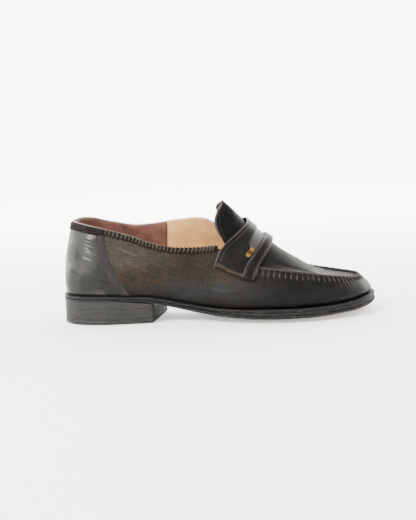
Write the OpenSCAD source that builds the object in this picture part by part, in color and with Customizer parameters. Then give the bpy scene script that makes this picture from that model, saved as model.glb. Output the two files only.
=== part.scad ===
// Moccasin-toe saddle loafer, right shoe, assembled from its sole unit, upper, linings and saddle.
// Row frame: origin under the middle of the shoe on the ground, +X to the toe, +Y to the inner
// (medial) side, +Z up. Millimetres.

/* [Sole] */

// Thickness of the welt strip under the upper
welt_t = 2.3; // [1.5:0.1:4]
// How far the tread rises at its edge across the width
tread_round = 2.2; // [0:0.1:4]
// Thickness of the rubber top lift at the ground
top_lift_t = 4.6; // [3:0.1:8]
// Thickness of each of the two flat heel lifts
lift_t = 4.8; // [3:0.1:7]
// Air gap left between stacked layers of the sole
gap = 0.2; // [0.1:0.05:0.5]
// Air gap left between layers of the upper
skin = 0.4; // [0.2:0.05:0.8]

/* [Upper] */

// Leather thickness of the outer upper pieces
leather = 1.5; // [1:0.1:2.2]
// Lining leather thickness
lining = 0.9; // [0.6:0.1:1.5]
// How far the upper stands in from the sole edge at the heel
inset_heel = 3.6; // [2:0.1:6]
// How far the upper stands in from the sole edge at the toe
inset_toe = 6.2; // [4:0.1:9]
// Depth of the folded band along the topline
binding_h = 4.6; // [3:0.1:7]

/* [Saddle] */

// Thickness of the saddle strap leather
strap_t = 1.4; // [1:0.1:2]
// Length of the metal bar on the strap
plate_len = 10.5; // [8:0.5:20]
// Width of the metal bar
plate_w = 4; // [3:0.5:7]

/* [Quality] */

// Steps between stations around the shoe
fine = 3; // [2:1:6]

/* [Hidden] */

// Sole edge seen from above, 34 stations: 0 heel, 1-16 outer side, 17 toe, 18-33 inner side.
EDGE = [
  [-150, -1], [-145, -19], [-131, -31], [-110, -36], [-87, -35.5], [-66, -33], [-46, -31.5],
  [-29, -32.5], [-14, -36], [6, -43], [25, -48.5], [48, -52], [72, -51.5], [96, -46.5],
  [117, -37], [134, -24.5], [145, -9.5],
  [150, 8],
  [146, 25], [134, 38.5], [116, 47], [95, 51.5], [73, 52], [50, 50], [27, 44.5], [8, 37.5],
  [-10, 31.5], [-26, 28.5], [-44, 27.5], [-62, 28.5], [-84, 31.5], [-109, 33.5], [-131, 29],
  [-145.5, 16]
];
// Upper edge of the side walls at the same stations: the topline, then the seam of the apron.
RIM = [
  [-139, -1, 94], [-133, -14, 94], [-121, -23.5, 91.8], [-105, -27.5, 88.3], [-82, -28.5, 81.6],
  [-62, -29.5, 74.2], [-40, -31.5, 69.3], [-15, -33.5, 68.8], [4, -34.5, 69], [20, -36.5, 58],
  [38, -37.5, 50.5], [56, -38, 47.6], [75, -37.5, 44.6], [93, -34.5, 41.2], [110, -29, 38.2],
  [123, -20.5, 35.8], [131.5, -8, 34.9],
  [134.5, 8, 34.3],
  [131.5, 22, 34.2], [123, 32, 34.5], [110, 38, 35.9], [93, 41.5, 38.6], [75, 42.5, 42.6], [56, 41.5, 47.6], [38, 39, 54], [20, 37, 64], [3, 35, 79], [-14, 33, 89.5], [-38, 31.5, 89.6],
  [-60, 30, 87], [-82, 28.5, 86.2], [-105, 27.5, 90.6], [-121, 23.5, 95], [-133, 13, 96.6]
];
// Outward swell of the wall, in mm, at the same stations.
SWELL = [
  4.6, 4.8, 5, 5, 4.8, 4.5, 4.5, 4.8, 5.5, 6.5, 7.6, 8.2, 8.2, 8.2, 8, 6.8, 5.2,
  5,
  5.2, 6.8, 8, 8, 8, 8, 7.4, 6.4, 5.4, 4.8, 4.5, 4.5, 4.6, 4.8, 5, 4.8
];
// Crown of the tongue, instep and apron over stations 6 to 17.
CROWN = [
  [3, 0, 115.4], [13.6, 0, 105.6], [28, 0, 89.7], [40, 0.5, 79.3], [51, 1, 69.8],
  [66, 2, 59.2], [80, 3, 50.6], [95, 4.5, 41.6], [110, 6, 36], [121, 7, 34.2], [129, 7.5, 33.7],
  [134.5, 8, 33.6]
];
// Side profile of the stack of layers: x, tread, top of outsole, top of the welt.
STACK = [
  [-152, 21.6, 24.4, 27], [-107, 21.2, 24, 26.5], [-66, 17.4, 21.5, 24.4], [-45, 12.6, 17, 20.1],
  [-25, 7.9, 12.7, 15.9], [-5, 4.2, 9.6, 13.2], [15, 1.7, 7.4, 12.2], [36, 0.3, 6.4, 12.1],
  [50, 0.05, 6.2, 12.1], [70, 0.05, 6.2, 12.1], [85, 0.25, 6.3, 12.3], [100, 1, 6.9, 12.8],
  [115, 2, 7.6, 13.6], [126, 3, 8.2, 14.6], [135, 4.3, 9.3, 15.8], [142, 5.7, 10.5, 16.8],
  [152, 8.2, 12.8, 18.2]
];

// ---------- curves ----------
function cr(a, b, c, d, t) =
  b + 0.5 * t * ((c - a) + t * ((2 * a - 5 * b + 4 * c - d) + t * (3 * (b - c) + d - a)));
function ring(P, u) =
  let (n = len(P), i = floor(u), t = u - i)
  cr(P[(i - 1 + 2 * n) % n], P[(i + 2 * n) % n], P[(i + 1 + 2 * n) % n], P[(i + 2 + 2 * n) % n], t);
function line(P, u) =
  let (n = len(P), i = max(0, min(n - 2, floor(u))), t = u - i)
  cr(P[max(0, i - 1)], P[i], P[i + 1], P[min(n - 1, i + 2)], t);
function prof(k, x, i = 0) =
  i > len(STACK) - 2 ? STACK[len(STACK) - 1][k]
  : x > STACK[i + 1][0] ? prof(k, x, i + 1)
  : let (n = len(STACK), a = STACK[max(0, i - 1)], b = STACK[i], c = STACK[i + 1],
         d = STACK[min(n - 1, i + 2)], t = max(0, (x - b[0]) / (c[0] - b[0])))
    cr(a[k], b[k], c[k], d[k], t);
function unit(v) = v / max(1e-9, norm(v));
function wrap(u) = u < 0 ? u + 34 : u >= 34 ? u - 34 : u;
function out2(u) =
  let (w = wrap(u), p = ring(EDGE, wrap(w - 0.35)), q = ring(EDGE, wrap(w + 0.35)))
  unit([q[1] - p[1], p[0] - q[0]]);
function inset(u) =
  let (x = ring(EDGE, wrap(u))[0], k = max(0, min(1, (x + 60) / 120)))
  inset_heel + (inset_toe - inset_heel) * k;
function edge_in(u, d) = ring(EDGE, wrap(u)) - out2(u) * d;
function feather(u) =
  let (p = edge_in(u, inset(u))) [p[0], p[1], prof(3, p[0]) + 0.35];
// One point of the side wall: s is 0 at the sole and 1 at the upper edge.
function wall0(u, s) =
  let (w = wrap(u), f = feather(w), r = ring(RIM, w), o = out2(w), g = sin(180 * pow(s, 0.72)))
  [f[0] + (r[0] - f[0]) * s + o[0] * ring(SWELL, w) * g,
   f[1] + (r[1] - f[1]) * s + o[1] * ring(SWELL, w) * g,
   f[2] + (r[2] - f[2]) * s];
function wall_n(u, s) =
  let (a = max(0.02, min(0.98, s)),
       du = wall0(u + 0.15, a) - wall0(u - 0.15, a),
       ds = wall0(u, min(1, a + 0.03)) - wall0(u, max(0, a - 0.03)))
  unit(cross(du, ds));
function wall(u, s, d) = wall0(u, s) + wall_n(u, s) * d;
// One point of the arch between the two rims of rib j, w from 0 (outer side) to 1.
function arch0(j, w) =
  let (a = ring(RIM, j), b = ring(RIM, wrap(34 - j)), c = line(CROWN, j - 6),
       m = (a + b) / 2, k = 1 - pow(abs(2 * w - 1), j < 8 ? 1.3 + 1.067 * (j - 6.5) : j > 12 ? 2.4 : 2.9 - 0.125 * (j - 8)))
  a + (b - a) * w + (c - m) * k;
function arch_n(j, w) =
  let (dj = arch0(j + 0.12, w) - arch0(j - 0.12, w),
       dw = arch0(j, min(1, w + 0.03)) - arch0(j, max(0, w - 0.03)))
  unit(cross(dj, dw));
function arch(j, w, d) = arch0(j, w) + arch_n(j, w) * d;
// The whole rib, v from 0 (outer sole edge) over the crown (1) to 2 (inner sole edge).
// The corner at the rim is blended, so a piece laid over it bends smoothly.
function rib0(j, v) =
  v < 0.72 ? wall0(j, v / 0.8)
  : v > 1.28 ? wall0(34 - j, (2 - v) / 0.8)
  : v < 0.88 ? let (t = (v - 0.72) / 0.16) mid3(wall0(j, 0.9), ring(RIM, j), arch0(j, 0.1), t)
  : v > 1.12 ? let (t = (1.28 - v) / 0.16)
      mid3(wall0(34 - j, 0.9), ring(RIM, wrap(34 - j)), arch0(j, 0.9), t)
  : arch0(j, 0.1 + (v - 0.88) / 0.24 * 0.8);
function mid3(a, b, c, t) = a * (1 - t) * (1 - t) + b * 2 * t * (1 - t) + c * t * t;
function rib_n(j, v) =
  let (dj = rib0(j + 0.12, v) - rib0(j - 0.12, v), dv = rib0(j, v + 0.012) - rib0(j, v - 0.012))
  unit(cross(dj, dv));
function rib(j, v, d) = rib0(j, v) + rib_n(j, v) * d;

// ---------- closed shells from two grids ----------
// A and B are the outer and inner grids, n rows of m points, row after row; M says which cells exist.
function cell(M, i, k, n, m) = i >= 0 && k >= 0 && i < n - 1 && k < m - 1 && (M == [] || M[i][k] == 1);
module shell(A, B, n, m, M = []) {
  s = n * m;
  tri = [
    for (i = [0 : n - 2], k = [0 : m - 2])
      if (cell(M, i, k, n, m))
        let (a = i * m + k, b = a + 1, c = a + m, d = c + 1)
        each concat(
          [[a, b, c], [b, d, c], [s + a, s + c, s + b], [s + b, s + c, s + d]],
          cell(M, i - 1, k, n, m) ? [] : [[a, s + a, b], [b, s + a, s + b]],
          cell(M, i + 1, k, n, m) ? [] : [[c, d, s + c], [d, s + d, s + c]],
          cell(M, i, k - 1, n, m) ? [] : [[a, c, s + a], [c, s + c, s + a]],
          cell(M, i, k + 1, n, m) ? [] : [[b, s + b, d], [d, s + b, s + d]])
  ];
  used = [for (i = [0 : n - 1], k = [0 : m - 1])
    cell(M, i, k, n, m) || cell(M, i - 1, k, n, m) || cell(M, i, k - 1, n, m)
    || cell(M, i - 1, k - 1, n, m) ? 1 : 0];
  polyhedron(points = concat(A, B), faces = tri, convexity = 8);
}
// The same for a grid whose rows close on themselves (n rows around, joined last to first).
module hoop(A, B, n, m) {
  s = n * m;
  tri = [
    for (i = [0 : n - 1], k = [0 : m - 2])
      let (j = (i + 1) % n, a = i * m + k, b = a + 1, c = j * m + k, d = c + 1)
      each concat(
        [[a, b, c], [b, d, c], [s + a, s + c, s + b], [s + b, s + c, s + d]],
        k == 0 ? [[a, c, s + a], [c, s + c, s + a]] : [],
        k == m - 2 ? [[b, s + b, d], [d, s + b, s + d]] : [])
  ];
  polyhedron(points = concat(A, B), faces = tri, convexity = 8);
}
// Station of the counter seam at height share s.
function seam(s) = 4.06 - 2.1 * s + 0.8 * s * s;
// Where an edge stands at height share s: [station] upright, [share of the seam, distance] along it.
function edge_u(e, s) = len(e) == 1 ? e[0] : e[0] * (seam(s) + e[1]) + (e[0] < 0 ? e[2] : 0);
// Piece of the side wall between two such edges.
module wall_piece(ea, eb, s0, s1, d0, d1, nu, ns) {
  function g(d) = [for (i = [0 : nu], k = [0 : ns])
    let (q = k / ns, s = s0 + (s1 - s0) * q, a = edge_u(ea, s), b = edge_u(eb, s))
    wall(a + (b - a) * i / nu, s, d)];
  shell(g(d1), g(d0), nu + 1, ns + 1);
}
module rib_piece(j0, j1, v0, v1, d0, d1, nj, nv) {
  function g(d) = [for (i = [0 : nj], k = [0 : nv])
    rib(j0 + (j1 - j0) * i / nj, v0 + (v1 - v0) * k / nv, d)];
  shell(g(d1), g(d0), nj + 1, nv + 1);
}
// Stacked flat-grid layer of the sole between two heights, following the sole edge.
function sole_u(k, n) = k * 17 / n;
// The tread curls up more at its edge under the ball than under the waist and heel.
function lift_share(x) = let (t = max(0, min(1, (x + 10) / 45)), q = max(0, min(1, (152 - x) / 50)))
  1 + 0.75 * t * t * (3 - 2 * t) * q;
module sole_layer(j0, j1, d, lo, hi, round = 0, nx = 34, ny = 6) {
  function pt(i, k, side) =
    let (j = j0 + (j1 - j0) * i / nx, a = edge_in(j, d), b = edge_in(34 - j, d), w = k / ny,
         p = a + (b - a) * w, e = abs(2 * w - 1))
    [p[0], p[1], side == 0 ? prof(lo[0], p[0]) + lo[1] + round * lift_share(p[0]) * pow(e, 5) : prof(hi[0], p[0]) + hi[1]];
  function g(side) = [for (i = [0 : nx], k = [0 : ny]) pt(i, k, side)];
  shell(g(1), g(0), nx + 1, ny + 1);
}
// Flat plan outline of the heel, cut by the breast.
module heel_plan(d = 0) {
  polygon(concat(
    [for (k = [0 : 20]) edge_in(k * 5.22 / 20, d)],
    [for (k = [0 : 20]) edge_in(28.55 + k * 5.45 / 20, d)]));
}

// ---------- sole unit ----------
module outsole() {
  color([0.16, 0.15, 0.14])
    sole_layer(0.25, 16.85, 0, [1, 0], [2, 0], tread_round, 40, 6);
}
module midsole() {
  color([0.2, 0.17, 0.14])
    sole_layer(8, 16.85, 0.5, [2, gap], [3, -welt_t - gap], 0, 26, 4);
}
// Strip all round under the edge of the upper.
module welt() {
  n = 102;
  function g(k) = [for (i = [0 : n - 1]) let (u = i / 3)
    each [for (z = [0, 1]) let (p = edge_in(u, k)) [p[0], p[1], prof(3, p[0]) - welt_t * z]]];
  color([0.13, 0.12, 0.12])
    hoop(g(11), g(0.2), n, 2);
}
module cork_filler() {
  color([0.55, 0.4, 0.26])
    sole_layer(9.6, 16.2, 12.4, [3, -welt_t], [3, 0], 0, 20, 4);
}
module heel_seat_board() {
  color([0.5, 0.38, 0.27])
    sole_layer(0.8, 5.2, 12.4, [3, -welt_t], [3, 0], 0, 12, 4);
}
module shank() {
  color([0.6, 0.61, 0.63])
    intersection() {
      translate([-12, 0, 0])
        rotate([90, 0, 0])
          linear_extrude(height = 14, center = true)
            polygon(concat(
              [for (x = [-52 : 4 : 44]) [x, prof(3, x - 12) - 1.9]],
              [for (x = [44 : -4 : -52]) [x, prof(3, x - 12) - 0.4]]));
      translate([-22, 0, 0])
        cube([72, 13, 60], center = true);
    }
}
module insole() {
  color([0.72, 0.56, 0.38])
    sole_layer(0.5, 16.5, inset_toe + 2.2, [3, 0.35], [3, 2.4], 0, 34, 4);
}
module sock_lining() {
  color([0.78, 0.6, 0.38])
    sole_layer(0.6, 16.4, inset_toe + 3.4, [3, 2.6], [3, 3.5], 0, 34, 4);
}
module heel_pad() {
  color([0.62, 0.46, 0.3])
    sole_layer(0.9, 5.6, inset_toe + 4.6, [3, 3.7], [3, 4.6], 0, 14, 4);
}
module heel_lift_lower() {
  color([0.17, 0.16, 0.15])
    translate([0, 0, top_lift_t + gap])
      linear_extrude(height = lift_t)
        heel_plan(0.5);
}
module heel_lift_middle() {
  color([0.16, 0.15, 0.14])
    translate([0, 0, top_lift_t + lift_t + 2 * gap])
      linear_extrude(height = lift_t)
        heel_plan(0.3);
}
// The wedge lift takes up the slope between the flat lifts and the outsole.
module heel_lift_wedge() {
  z0 = top_lift_t + 2 * lift_t + 3 * gap;
  color([0.18, 0.16, 0.15])
    sole_wedge(z0);
}
module sole_wedge(z0) {
  nx = 16;
  ny = 4;
  function pt(i, k, side) =
    let (j = 0.25 + (5.1 - 0.25) * i / nx, a = edge_in(j, 0.2), b = edge_in(34 - j * 0.96, 0.2),
         p = a + (b - a) * k / ny)
    [p[0], p[1], side == 0 ? z0 : prof(1, p[0]) - gap];
  function g(side) = [for (i = [0 : nx], k = [0 : ny]) pt(i, k, side)];
  shell(g(1), g(0), nx + 1, ny + 1);
}
module top_lift() {
  color([0.09, 0.09, 0.09])
    difference() {
      linear_extrude(height = top_lift_t)
        heel_plan(0.2);
      for (p = NAILS)
        translate([p[0], p[1], 0.4])
          cylinder(h = 10, r = 1.3, $fn = 48);
    }
}
NAILS = [[-140, 0], [-133, -18], [-133, 18], [-112, -27], [-112, 25], [-88, -27], [-88, 23],
  [-72, -14], [-70, 4], [-68, 18]];
// Brads holding the top lift: the heads sit in the rubber.
module heel_brads() {
  color([0.62, 0.6, 0.55])
    for (p = NAILS)
      translate([p[0], p[1], 1])
        cylinder(h = 3.4, r = 1, $fn = 48);
}

// ---------- upper: side walls ----------
// One piece of leather from the outer counter seam round the toe to the inner counter seam.
module vamp_wall() {
  color([0.15, 0.13, 0.12])
    wall_piece([1, 0.03], [-1, 0.03, 34], 0, 0.985, -leather, 0, 90, 7);
}
module counter() {
  color([0.16, 0.15, 0.15])
    wall_piece([-1, -0.03, 0], [1, -0.03], 0, 0.985, -leather, 0, 32, 7);
}
module counter_strip_outer() {
  color([0.12, 0.11, 0.11])
    wall_piece([1, -0.2], [1, 0.2], 0.01, 0.9, 0.15, 0.95, 3, 10);
}
module counter_strip_inner() {
  color([0.12, 0.11, 0.11])
    wall_piece([-1, 0.2, 34], [-1, -0.2, 34], 0.01, 0.9, 0.15, 0.95, 3, 10);
}
module counter_stiffener() {
  color([0.62, 0.5, 0.36])
    wall_piece([-1, -0.25, 0], [1, -0.25], 0.13, 0.78, -leather - skin - 0.9, -leather - skin, 32, 7);
}
module heel_lining() {
  color([0.36, 0.17, 0.13])
    wall_piece([-5.4], [5.4], 0.1, 1.01, -leather - 2 * skin - 1.8, -leather - 2 * skin - 0.9, 38, 7);
}
module quarter_lining_outer() {
  color([0.85, 0.64, 0.4])
    wall_piece([5.46], [8.4], 0.12, 1.01, -leather - skin - lining, -leather - skin, 10, 7);
}
module quarter_lining_inner() {
  color([0.85, 0.64, 0.4])
    wall_piece([25.6], [28.54], 0.12, 1.01, -leather - skin - lining, -leather - skin, 10, 7);
}
module vamp_lining() {
  color([0.8, 0.62, 0.4])
    wall_piece([8.46], [25.54], 0.14, 0.9, -leather - skin - lining, -leather - skin, 52, 6);
}
module toe_puff() {
  color([0.66, 0.55, 0.4])
    wall_piece([13.9], [20.1], 0.18, 0.8, -leather - 2 * skin - lining - 0.8, -leather - 2 * skin - lining, 22, 6);
}

// ---------- topline ----------
// Folded band over the edge of the wall, from the outer side round the heel to the inner side.
module topline_binding() {
  n = 78;
  t0 = -7.82;
  function cs(u, i) =
    let (h = 1 - binding_h / 60, r = ring(RIM, wrap(u)), o = out2(wrap(u)), e = [o[0], o[1], 0],
         k = [[1.1, -binding_h], [1.3, -0.6], [1, 0.8], [0.2, 1.5], [-0.7, 1.5], [-1.3, 1.1],
              [-1.4, 0.5], [-1.2, 0.36], [-0.9, 0.32], [0.3, 0.3], [0.2, -binding_h]])
    r + e * (k[i][0]) + [0, 0, k[i][1]] + lean(u, k[i][1]);
  function lean(u, z) = z < -1 ? wall0(u, 1 + z / 62) - wall0(u, 1) - [0, 0, wall0(u, 1 + z / 62)[2] - wall0(u, 1)[2]] : [0, 0, 0];
  pts = [for (i = [0 : n], k = [0 : 10]) cs(t0 + 15.64 * i / n, k)];
  color([0.12, 0.1, 0.09])
    band(pts, n, 11);
}
// Closed solid swept through n + 1 rings of m points each.
module band(pts, n, m) {
  side = [for (i = [0 : n - 1], k = [0 : m - 1])
    let (l = (k + 1) % m, a = i * m + k, b = i * m + l, c = a + m, d = b + m)
    each [[a, c, b], [b, c, d]]];
  cap = [[6, 7, 8], [5, 6, 8], [4, 5, 8], [4, 8, 9], [3, 4, 9], [2, 3, 9], [1, 2, 9], [1, 9, 10], [0, 1, 10]];
  e = n * m;
  caps = m == 11
    ? concat([for (f = cap) [f[2], f[1], f[0]]], [for (f = cap) [e + f[0], e + f[1], e + f[2]]])
    : [];
  polyhedron(points = pts, faces = [for (f = concat(side, [for (c = caps) [c[2], c[1], c[0]]])) [f[2], f[1], f[0]]],
    convexity = 8);
}
// Whip stitches over the band along both sides.
module topline_stitches() {
  color([0.07, 0.06, 0.06])
    for (u = [for (k = [0 : 29]) 3.12 + k * 0.157, for (k = [0 : 29]) 34 - 3.12 - k * 0.157])
      rod(band_out(u, 1 - 4 / 60, 1.95), band_out(u, 1 - 1 / 60, 1.95), 0.55);
}
function band_out(u, s, d) =
  let (o = out2(wrap(u))) wall0(u, s) + [o[0] * d, o[1] * d, 0];

// ---------- apron and seam ----------
module apron() {
  nj = 44;
  nw = 12;
  function pt(i, k, d) =
    let (j = 8.3 + (16.1 - 8.3) * i / nj, w = 0.05 + 0.9 * k / nw, e = abs(2 * w - 1),
         f = max(0, min(1, (j - 9.6) / 1.2)), lip = (e > 0.86 ? 0 : e > 0.7 ? -1.6 : -1.1) * f)
    arch(j, w, d + lip);
  function g(d) = [for (i = [0 : nj], k = [0 : nw]) pt(i, k, d)];
  color([0.11, 0.11, 0.11])
    shell(g(0), g(-leather), nj + 1, nw + 1);
}
module apron_lining() {
  nj = 30;
  nw = 10;
  function g(d) = [for (i = [0 : nj], k = [0 : nw])
    arch(8.6 + (16.1 - 8.6) * i / nj, 0.1 + 0.8 * k / nw, d)];
  color([0.8, 0.62, 0.4])
    shell(g(-leather - 1.9), g(-leather - 2.8), nj + 1, nw + 1);
}
// Round bar between two points.
module rod(p, q, r) {
  d = q - p;
  translate(p)
    rotate([0, acos(d[2] / norm(d)), atan2(d[1], d[0])])
      cylinder(h = norm(d), r = r, $fn = 24);
}
// Hand stitches of the apron seam, one short thread on the wall under the rim at each pucker.
module seam_thread() {
  color([0.06, 0.06, 0.06])
    for (u = [for (k = [0 : 24]) 10.2 + k * 0.268, for (k = [0 : 24]) 34 - 10.2 - k * 0.268])
      rod(wall(u, 0.8, 0.85), wall(u, 0.95, 0.85), 0.45);
}

// ---------- tongue ----------
t_in = -2.8;
function tongue_pt(i, k, d, nj, nw, j0, j1) =
  let (q = i / nj, w = k / nw, e = abs(2 * w - 1),
       jr = j0 + 1.4 * pow(e, 3.2), j = jr + (j1 - jr) * q)
  arch(j, 0.045 + 0.91 * w, d);
module tongue() {
  function g(d) = [for (i = [0 : 10], k = [0 : 20]) tongue_pt(i, k, d, 10, 20, 6.48, 7.96)];
  color([0.12, 0.12, 0.12])
    shell(g(t_in + 1.3), g(t_in), 11, 21);
}
module tongue_lining() {
  function g(d) = [for (i = [0 : 10], k = [0 : 20]) tongue_pt(i, k, d, 10, 20, 6.54, 7.94)];
  color([0.5, 0.32, 0.2])
    shell(g(t_in - gap), g(t_in - gap - 0.8), 11, 21);
}
module tongue_root() {
  function g(d) = [for (i = [0 : 6], k = [0 : 16])
    arch(8.14 + (9.5 - 8.14) * i / 6, 0.1 + 0.8 * k / 16, d)];
  color([0.12, 0.12, 0.12])
    shell(g(-leather - 0.35), g(-leather - 1.65), 7, 17);
}

// ---------- saddle ----------
lift0 = 1.1;
j_r = 8;
j_f = 10;
j_b = 9.48;
v_end = 0.5;
// Width share of the slot's two edges at v: a lens across the crown.
function slot_a(v) = let (t = min(1, abs(v - 1) / 0.13)) 0.36 + 0.04 * t + 0.28 * pow(t, 6);
function slot_b(v) = 0.7;
module saddle_strap() {
  V = [0.54, 0.58, 0.63, 0.68, 0.74, 0.79, 0.84, 0.87, 0.885, 0.905, 0.93, 0.96, 1,
       1.04, 1.07, 1.095, 1.115, 1.13, 1.16, 1.21, 1.26, 1.32, 1.37, 1.42, 1.46];
  A = [0, 0.16, 0.33, 1, 2, 0.82, 0.98];
  function a_of(i, v) = A[i] == 1 ? slot_a(v) : A[i] == 2 ? slot_b(v)
    : A[i] < 0.4 ? A[i] * slot_a(v) / 0.62 : A[i];
  function g(d) = [for (i = [0 : 6], k = [0 : 24]) rib(j_r + (j_f - j_r) * a_of(i, V[k]), V[k], d)];
  M = [for (i = [0 : 5]) [for (k = [0 : 23]) i == 3 && V[k] > 0.865 && V[k + 1] < 1.135 ? 0 : 1]];
  color([0.1, 0.1, 0.1])
    shell(g(lift0 + strap_t), g(lift0), 7, 25, M);
}
module saddle_front_band() {
  color([0.09, 0.09, 0.09])
    rib_piece(j_b, j_f, 0.55, 1.45, lift0 + strap_t + 0.4, lift0 + 2 * strap_t + 0.2, 4, 30);
}
module saddle_backing() {
  color([0.05, 0.05, 0.05])
    rib_piece(8.6, 9.6, 0.85, 1.15, 0.48, 0.78, 5, 26);
}
module saddle_stitches() {
  color([0.05, 0.05, 0.05])
    for (s = [0, 1], k = [0 : 8])
      let (j = 8.12 + k * 0.15, v = s == 0 ? 0.56 : 1.44, e = s == 0 ? 0.028 : -0.028)
      rod(rib(j, v, lift0 + strap_t + 0.75), rib(j + 0.06, v + e, lift0 + strap_t + 0.75), 0.45);
}
module saddle_plate() {
  j = 9.24;
  v = 0.858;
  p = rib(j, v, lift0 + strap_t + 0.35);
  n = rib_n(j, v);
  a = unit(rib0(j, v + 0.02) - rib0(j, v - 0.02));
  b = cross(n, a);
  color([0.78, 0.58, 0.26])
    multmatrix([[a[0], b[0], n[0], p[0]], [a[1], b[1], n[1], p[1]], [a[2], b[2], n[2], p[2]], [0, 0, 0, 1]])
      linear_extrude(height = 1.2)
        union() {
          square([plate_len - plate_w, plate_w], center = true);
          translate([(plate_len - plate_w) / 2, 0])
            circle(d = plate_w, $fn = 48);
          translate([-(plate_len - plate_w) / 2, 0])
            circle(d = plate_w, $fn = 48);
        }
}

outsole();
midsole();
welt();
cork_filler();
heel_seat_board();
shank();
insole();
sock_lining();
heel_pad();
heel_lift_lower();
heel_lift_middle();
heel_lift_wedge();
top_lift();
heel_brads();
vamp_wall();
counter();
counter_strip_outer();
counter_strip_inner();
counter_stiffener();
heel_lining();
quarter_lining_outer();
quarter_lining_inner();
vamp_lining();
toe_puff();
topline_binding();
topline_stitches();
apron();
apron_lining();
seam_thread();
tongue();
tongue_lining();
tongue_root();
saddle_strap();
saddle_front_band();
saddle_backing();
saddle_stitches();
saddle_plate();
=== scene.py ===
"""Looks of the moccasin-toe saddle loafer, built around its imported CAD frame.

Lengths are millimetres in the frame's axes. A station (u, or j on the apron) counts from 0 to 34 round the
shoe from the middle of the heel, outer side first. s is the share of the way up the wall, w is across the apron
or tongue, and v is across the saddle, from 0 (outer) to 2 (inner).
"""

import math

import bpy
import numpy as np
from mathutils import Matrix, Vector

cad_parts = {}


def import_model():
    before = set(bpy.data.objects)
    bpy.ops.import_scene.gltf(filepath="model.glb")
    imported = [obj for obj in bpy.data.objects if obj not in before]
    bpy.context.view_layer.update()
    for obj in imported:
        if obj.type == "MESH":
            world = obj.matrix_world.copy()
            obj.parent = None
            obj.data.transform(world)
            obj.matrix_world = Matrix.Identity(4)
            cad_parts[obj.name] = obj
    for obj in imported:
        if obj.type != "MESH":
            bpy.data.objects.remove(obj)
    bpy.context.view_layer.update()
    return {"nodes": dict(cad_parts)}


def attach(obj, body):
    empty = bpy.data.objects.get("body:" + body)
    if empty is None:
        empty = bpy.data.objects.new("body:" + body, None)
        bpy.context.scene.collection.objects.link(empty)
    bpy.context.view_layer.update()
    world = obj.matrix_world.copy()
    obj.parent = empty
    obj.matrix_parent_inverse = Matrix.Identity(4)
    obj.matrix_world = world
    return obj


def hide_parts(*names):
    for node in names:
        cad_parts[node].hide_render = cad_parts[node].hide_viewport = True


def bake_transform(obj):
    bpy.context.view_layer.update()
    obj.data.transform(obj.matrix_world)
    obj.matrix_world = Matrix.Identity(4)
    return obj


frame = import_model()
MM = 0.001


# ---- the frame's curves, as in the CAD
EDGE = np.array([
    [-150, -1], [-145, -19], [-131, -31], [-110, -36], [-87, -35.5], [-66, -33], [-46, -31.5],
    [-29, -32.5], [-14, -36], [6, -43], [25, -48.5], [48, -52], [72, -51.5], [96, -46.5], [117, -37],
    [134, -24.5], [145, -9.5], [150, 8], [146, 25], [134, 38.5], [116, 47], [95, 51.5], [73, 52],
    [50, 50], [27, 44.5], [8, 37.5], [-10, 31.5], [-26, 28.5], [-44, 27.5], [-62, 28.5], [-84, 31.5],
    [-109, 33.5], [-131, 29], [-145.5, 16]], float)
RIM = np.array([
    [-139, -1, 94], [-133, -14, 94], [-121, -23.5, 91.8], [-105, -27.5, 88.3], [-82, -28.5, 81.6],
    [-62, -29.5, 74.2], [-40, -31.5, 69.3], [-15, -33.5, 68.8], [4, -34.5, 69], [20, -36.5, 58],
    [38, -37.5, 50.5], [56, -38, 47.6], [75, -37.5, 44.6], [93, -34.5, 41.2], [110, -29, 38.2],
    [123, -20.5, 35.8], [131.5, -8, 34.9], [134.5, 8, 34.3], [131.5, 22, 34.2], [123, 32, 34.5],
    [110, 38, 35.9], [93, 41.5, 38.6], [75, 42.5, 42.6], [56, 41.5, 47.6], [38, 39, 54], [20, 37, 64],
    [3, 35, 79], [-14, 33, 89.5], [-38, 31.5, 89.6], [-60, 30, 87], [-82, 28.5, 86.2],
    [-105, 27.5, 90.6], [-121, 23.5, 95], [-133, 13, 96.6]], float)
SWELL = np.array([
    4.6, 4.8, 5, 5, 4.8, 4.5, 4.5, 4.8, 5.5, 6.5, 7.6, 8.2, 8.2, 8.2, 8, 6.8, 5.2, 5, 5.2, 6.8, 8, 8, 8,
    8, 7.4, 6.4, 5.4, 4.8, 4.5, 4.5, 4.6, 4.8, 5, 4.8], float)
CROWN = np.array([
    [3, 0, 115.4], [13.6, 0, 105.6], [28, 0, 89.7], [40, 0.5, 79.3], [51, 1, 69.8], [66, 2, 59.2],
    [80, 3, 50.6], [95, 4.5, 41.6], [110, 6, 36], [121, 7, 34.2], [129, 7.5, 33.7], [134.5, 8, 33.6]], float)
STACK = np.array([
    [-152, 21.6, 24.4, 27], [-107, 21.2, 24, 26.5], [-66, 17.4, 21.5, 24.4], [-45, 12.6, 17, 20.1],
    [-25, 7.9, 12.7, 15.9], [-5, 4.2, 9.6, 13.2], [15, 1.7, 7.4, 12.2], [36, 0.3, 6.4, 12.1],
    [50, 0.05, 6.2, 12.1], [70, 0.05, 6.2, 12.1], [85, 0.25, 6.3, 12.3], [100, 1, 6.9, 12.8],
    [115, 2, 7.6, 13.6], [126, 3, 8.2, 14.6], [135, 4.3, 9.3, 15.8], [142, 5.7, 10.5, 16.8],
    [152, 8.2, 12.8, 18.2]], float)
STATIONS = len(EDGE)
LEATHER = 1.5
STRAP_BASE = 1.1


def plane(a, b):
    """Grid of two values, each from a (first, last, count)."""
    return np.meshgrid(np.linspace(*a), np.linspace(*b), indexing="ij")


def catmull(a, b, c, d, t):
    return b + 0.5 * t * ((c - a) + t * ((2 * a - 5 * b + 4 * c - d) + t * (3 * (b - c) + d - a)))


def grids(*values):
    return np.broadcast_arrays(*(np.asarray(v, float) for v in values))


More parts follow.
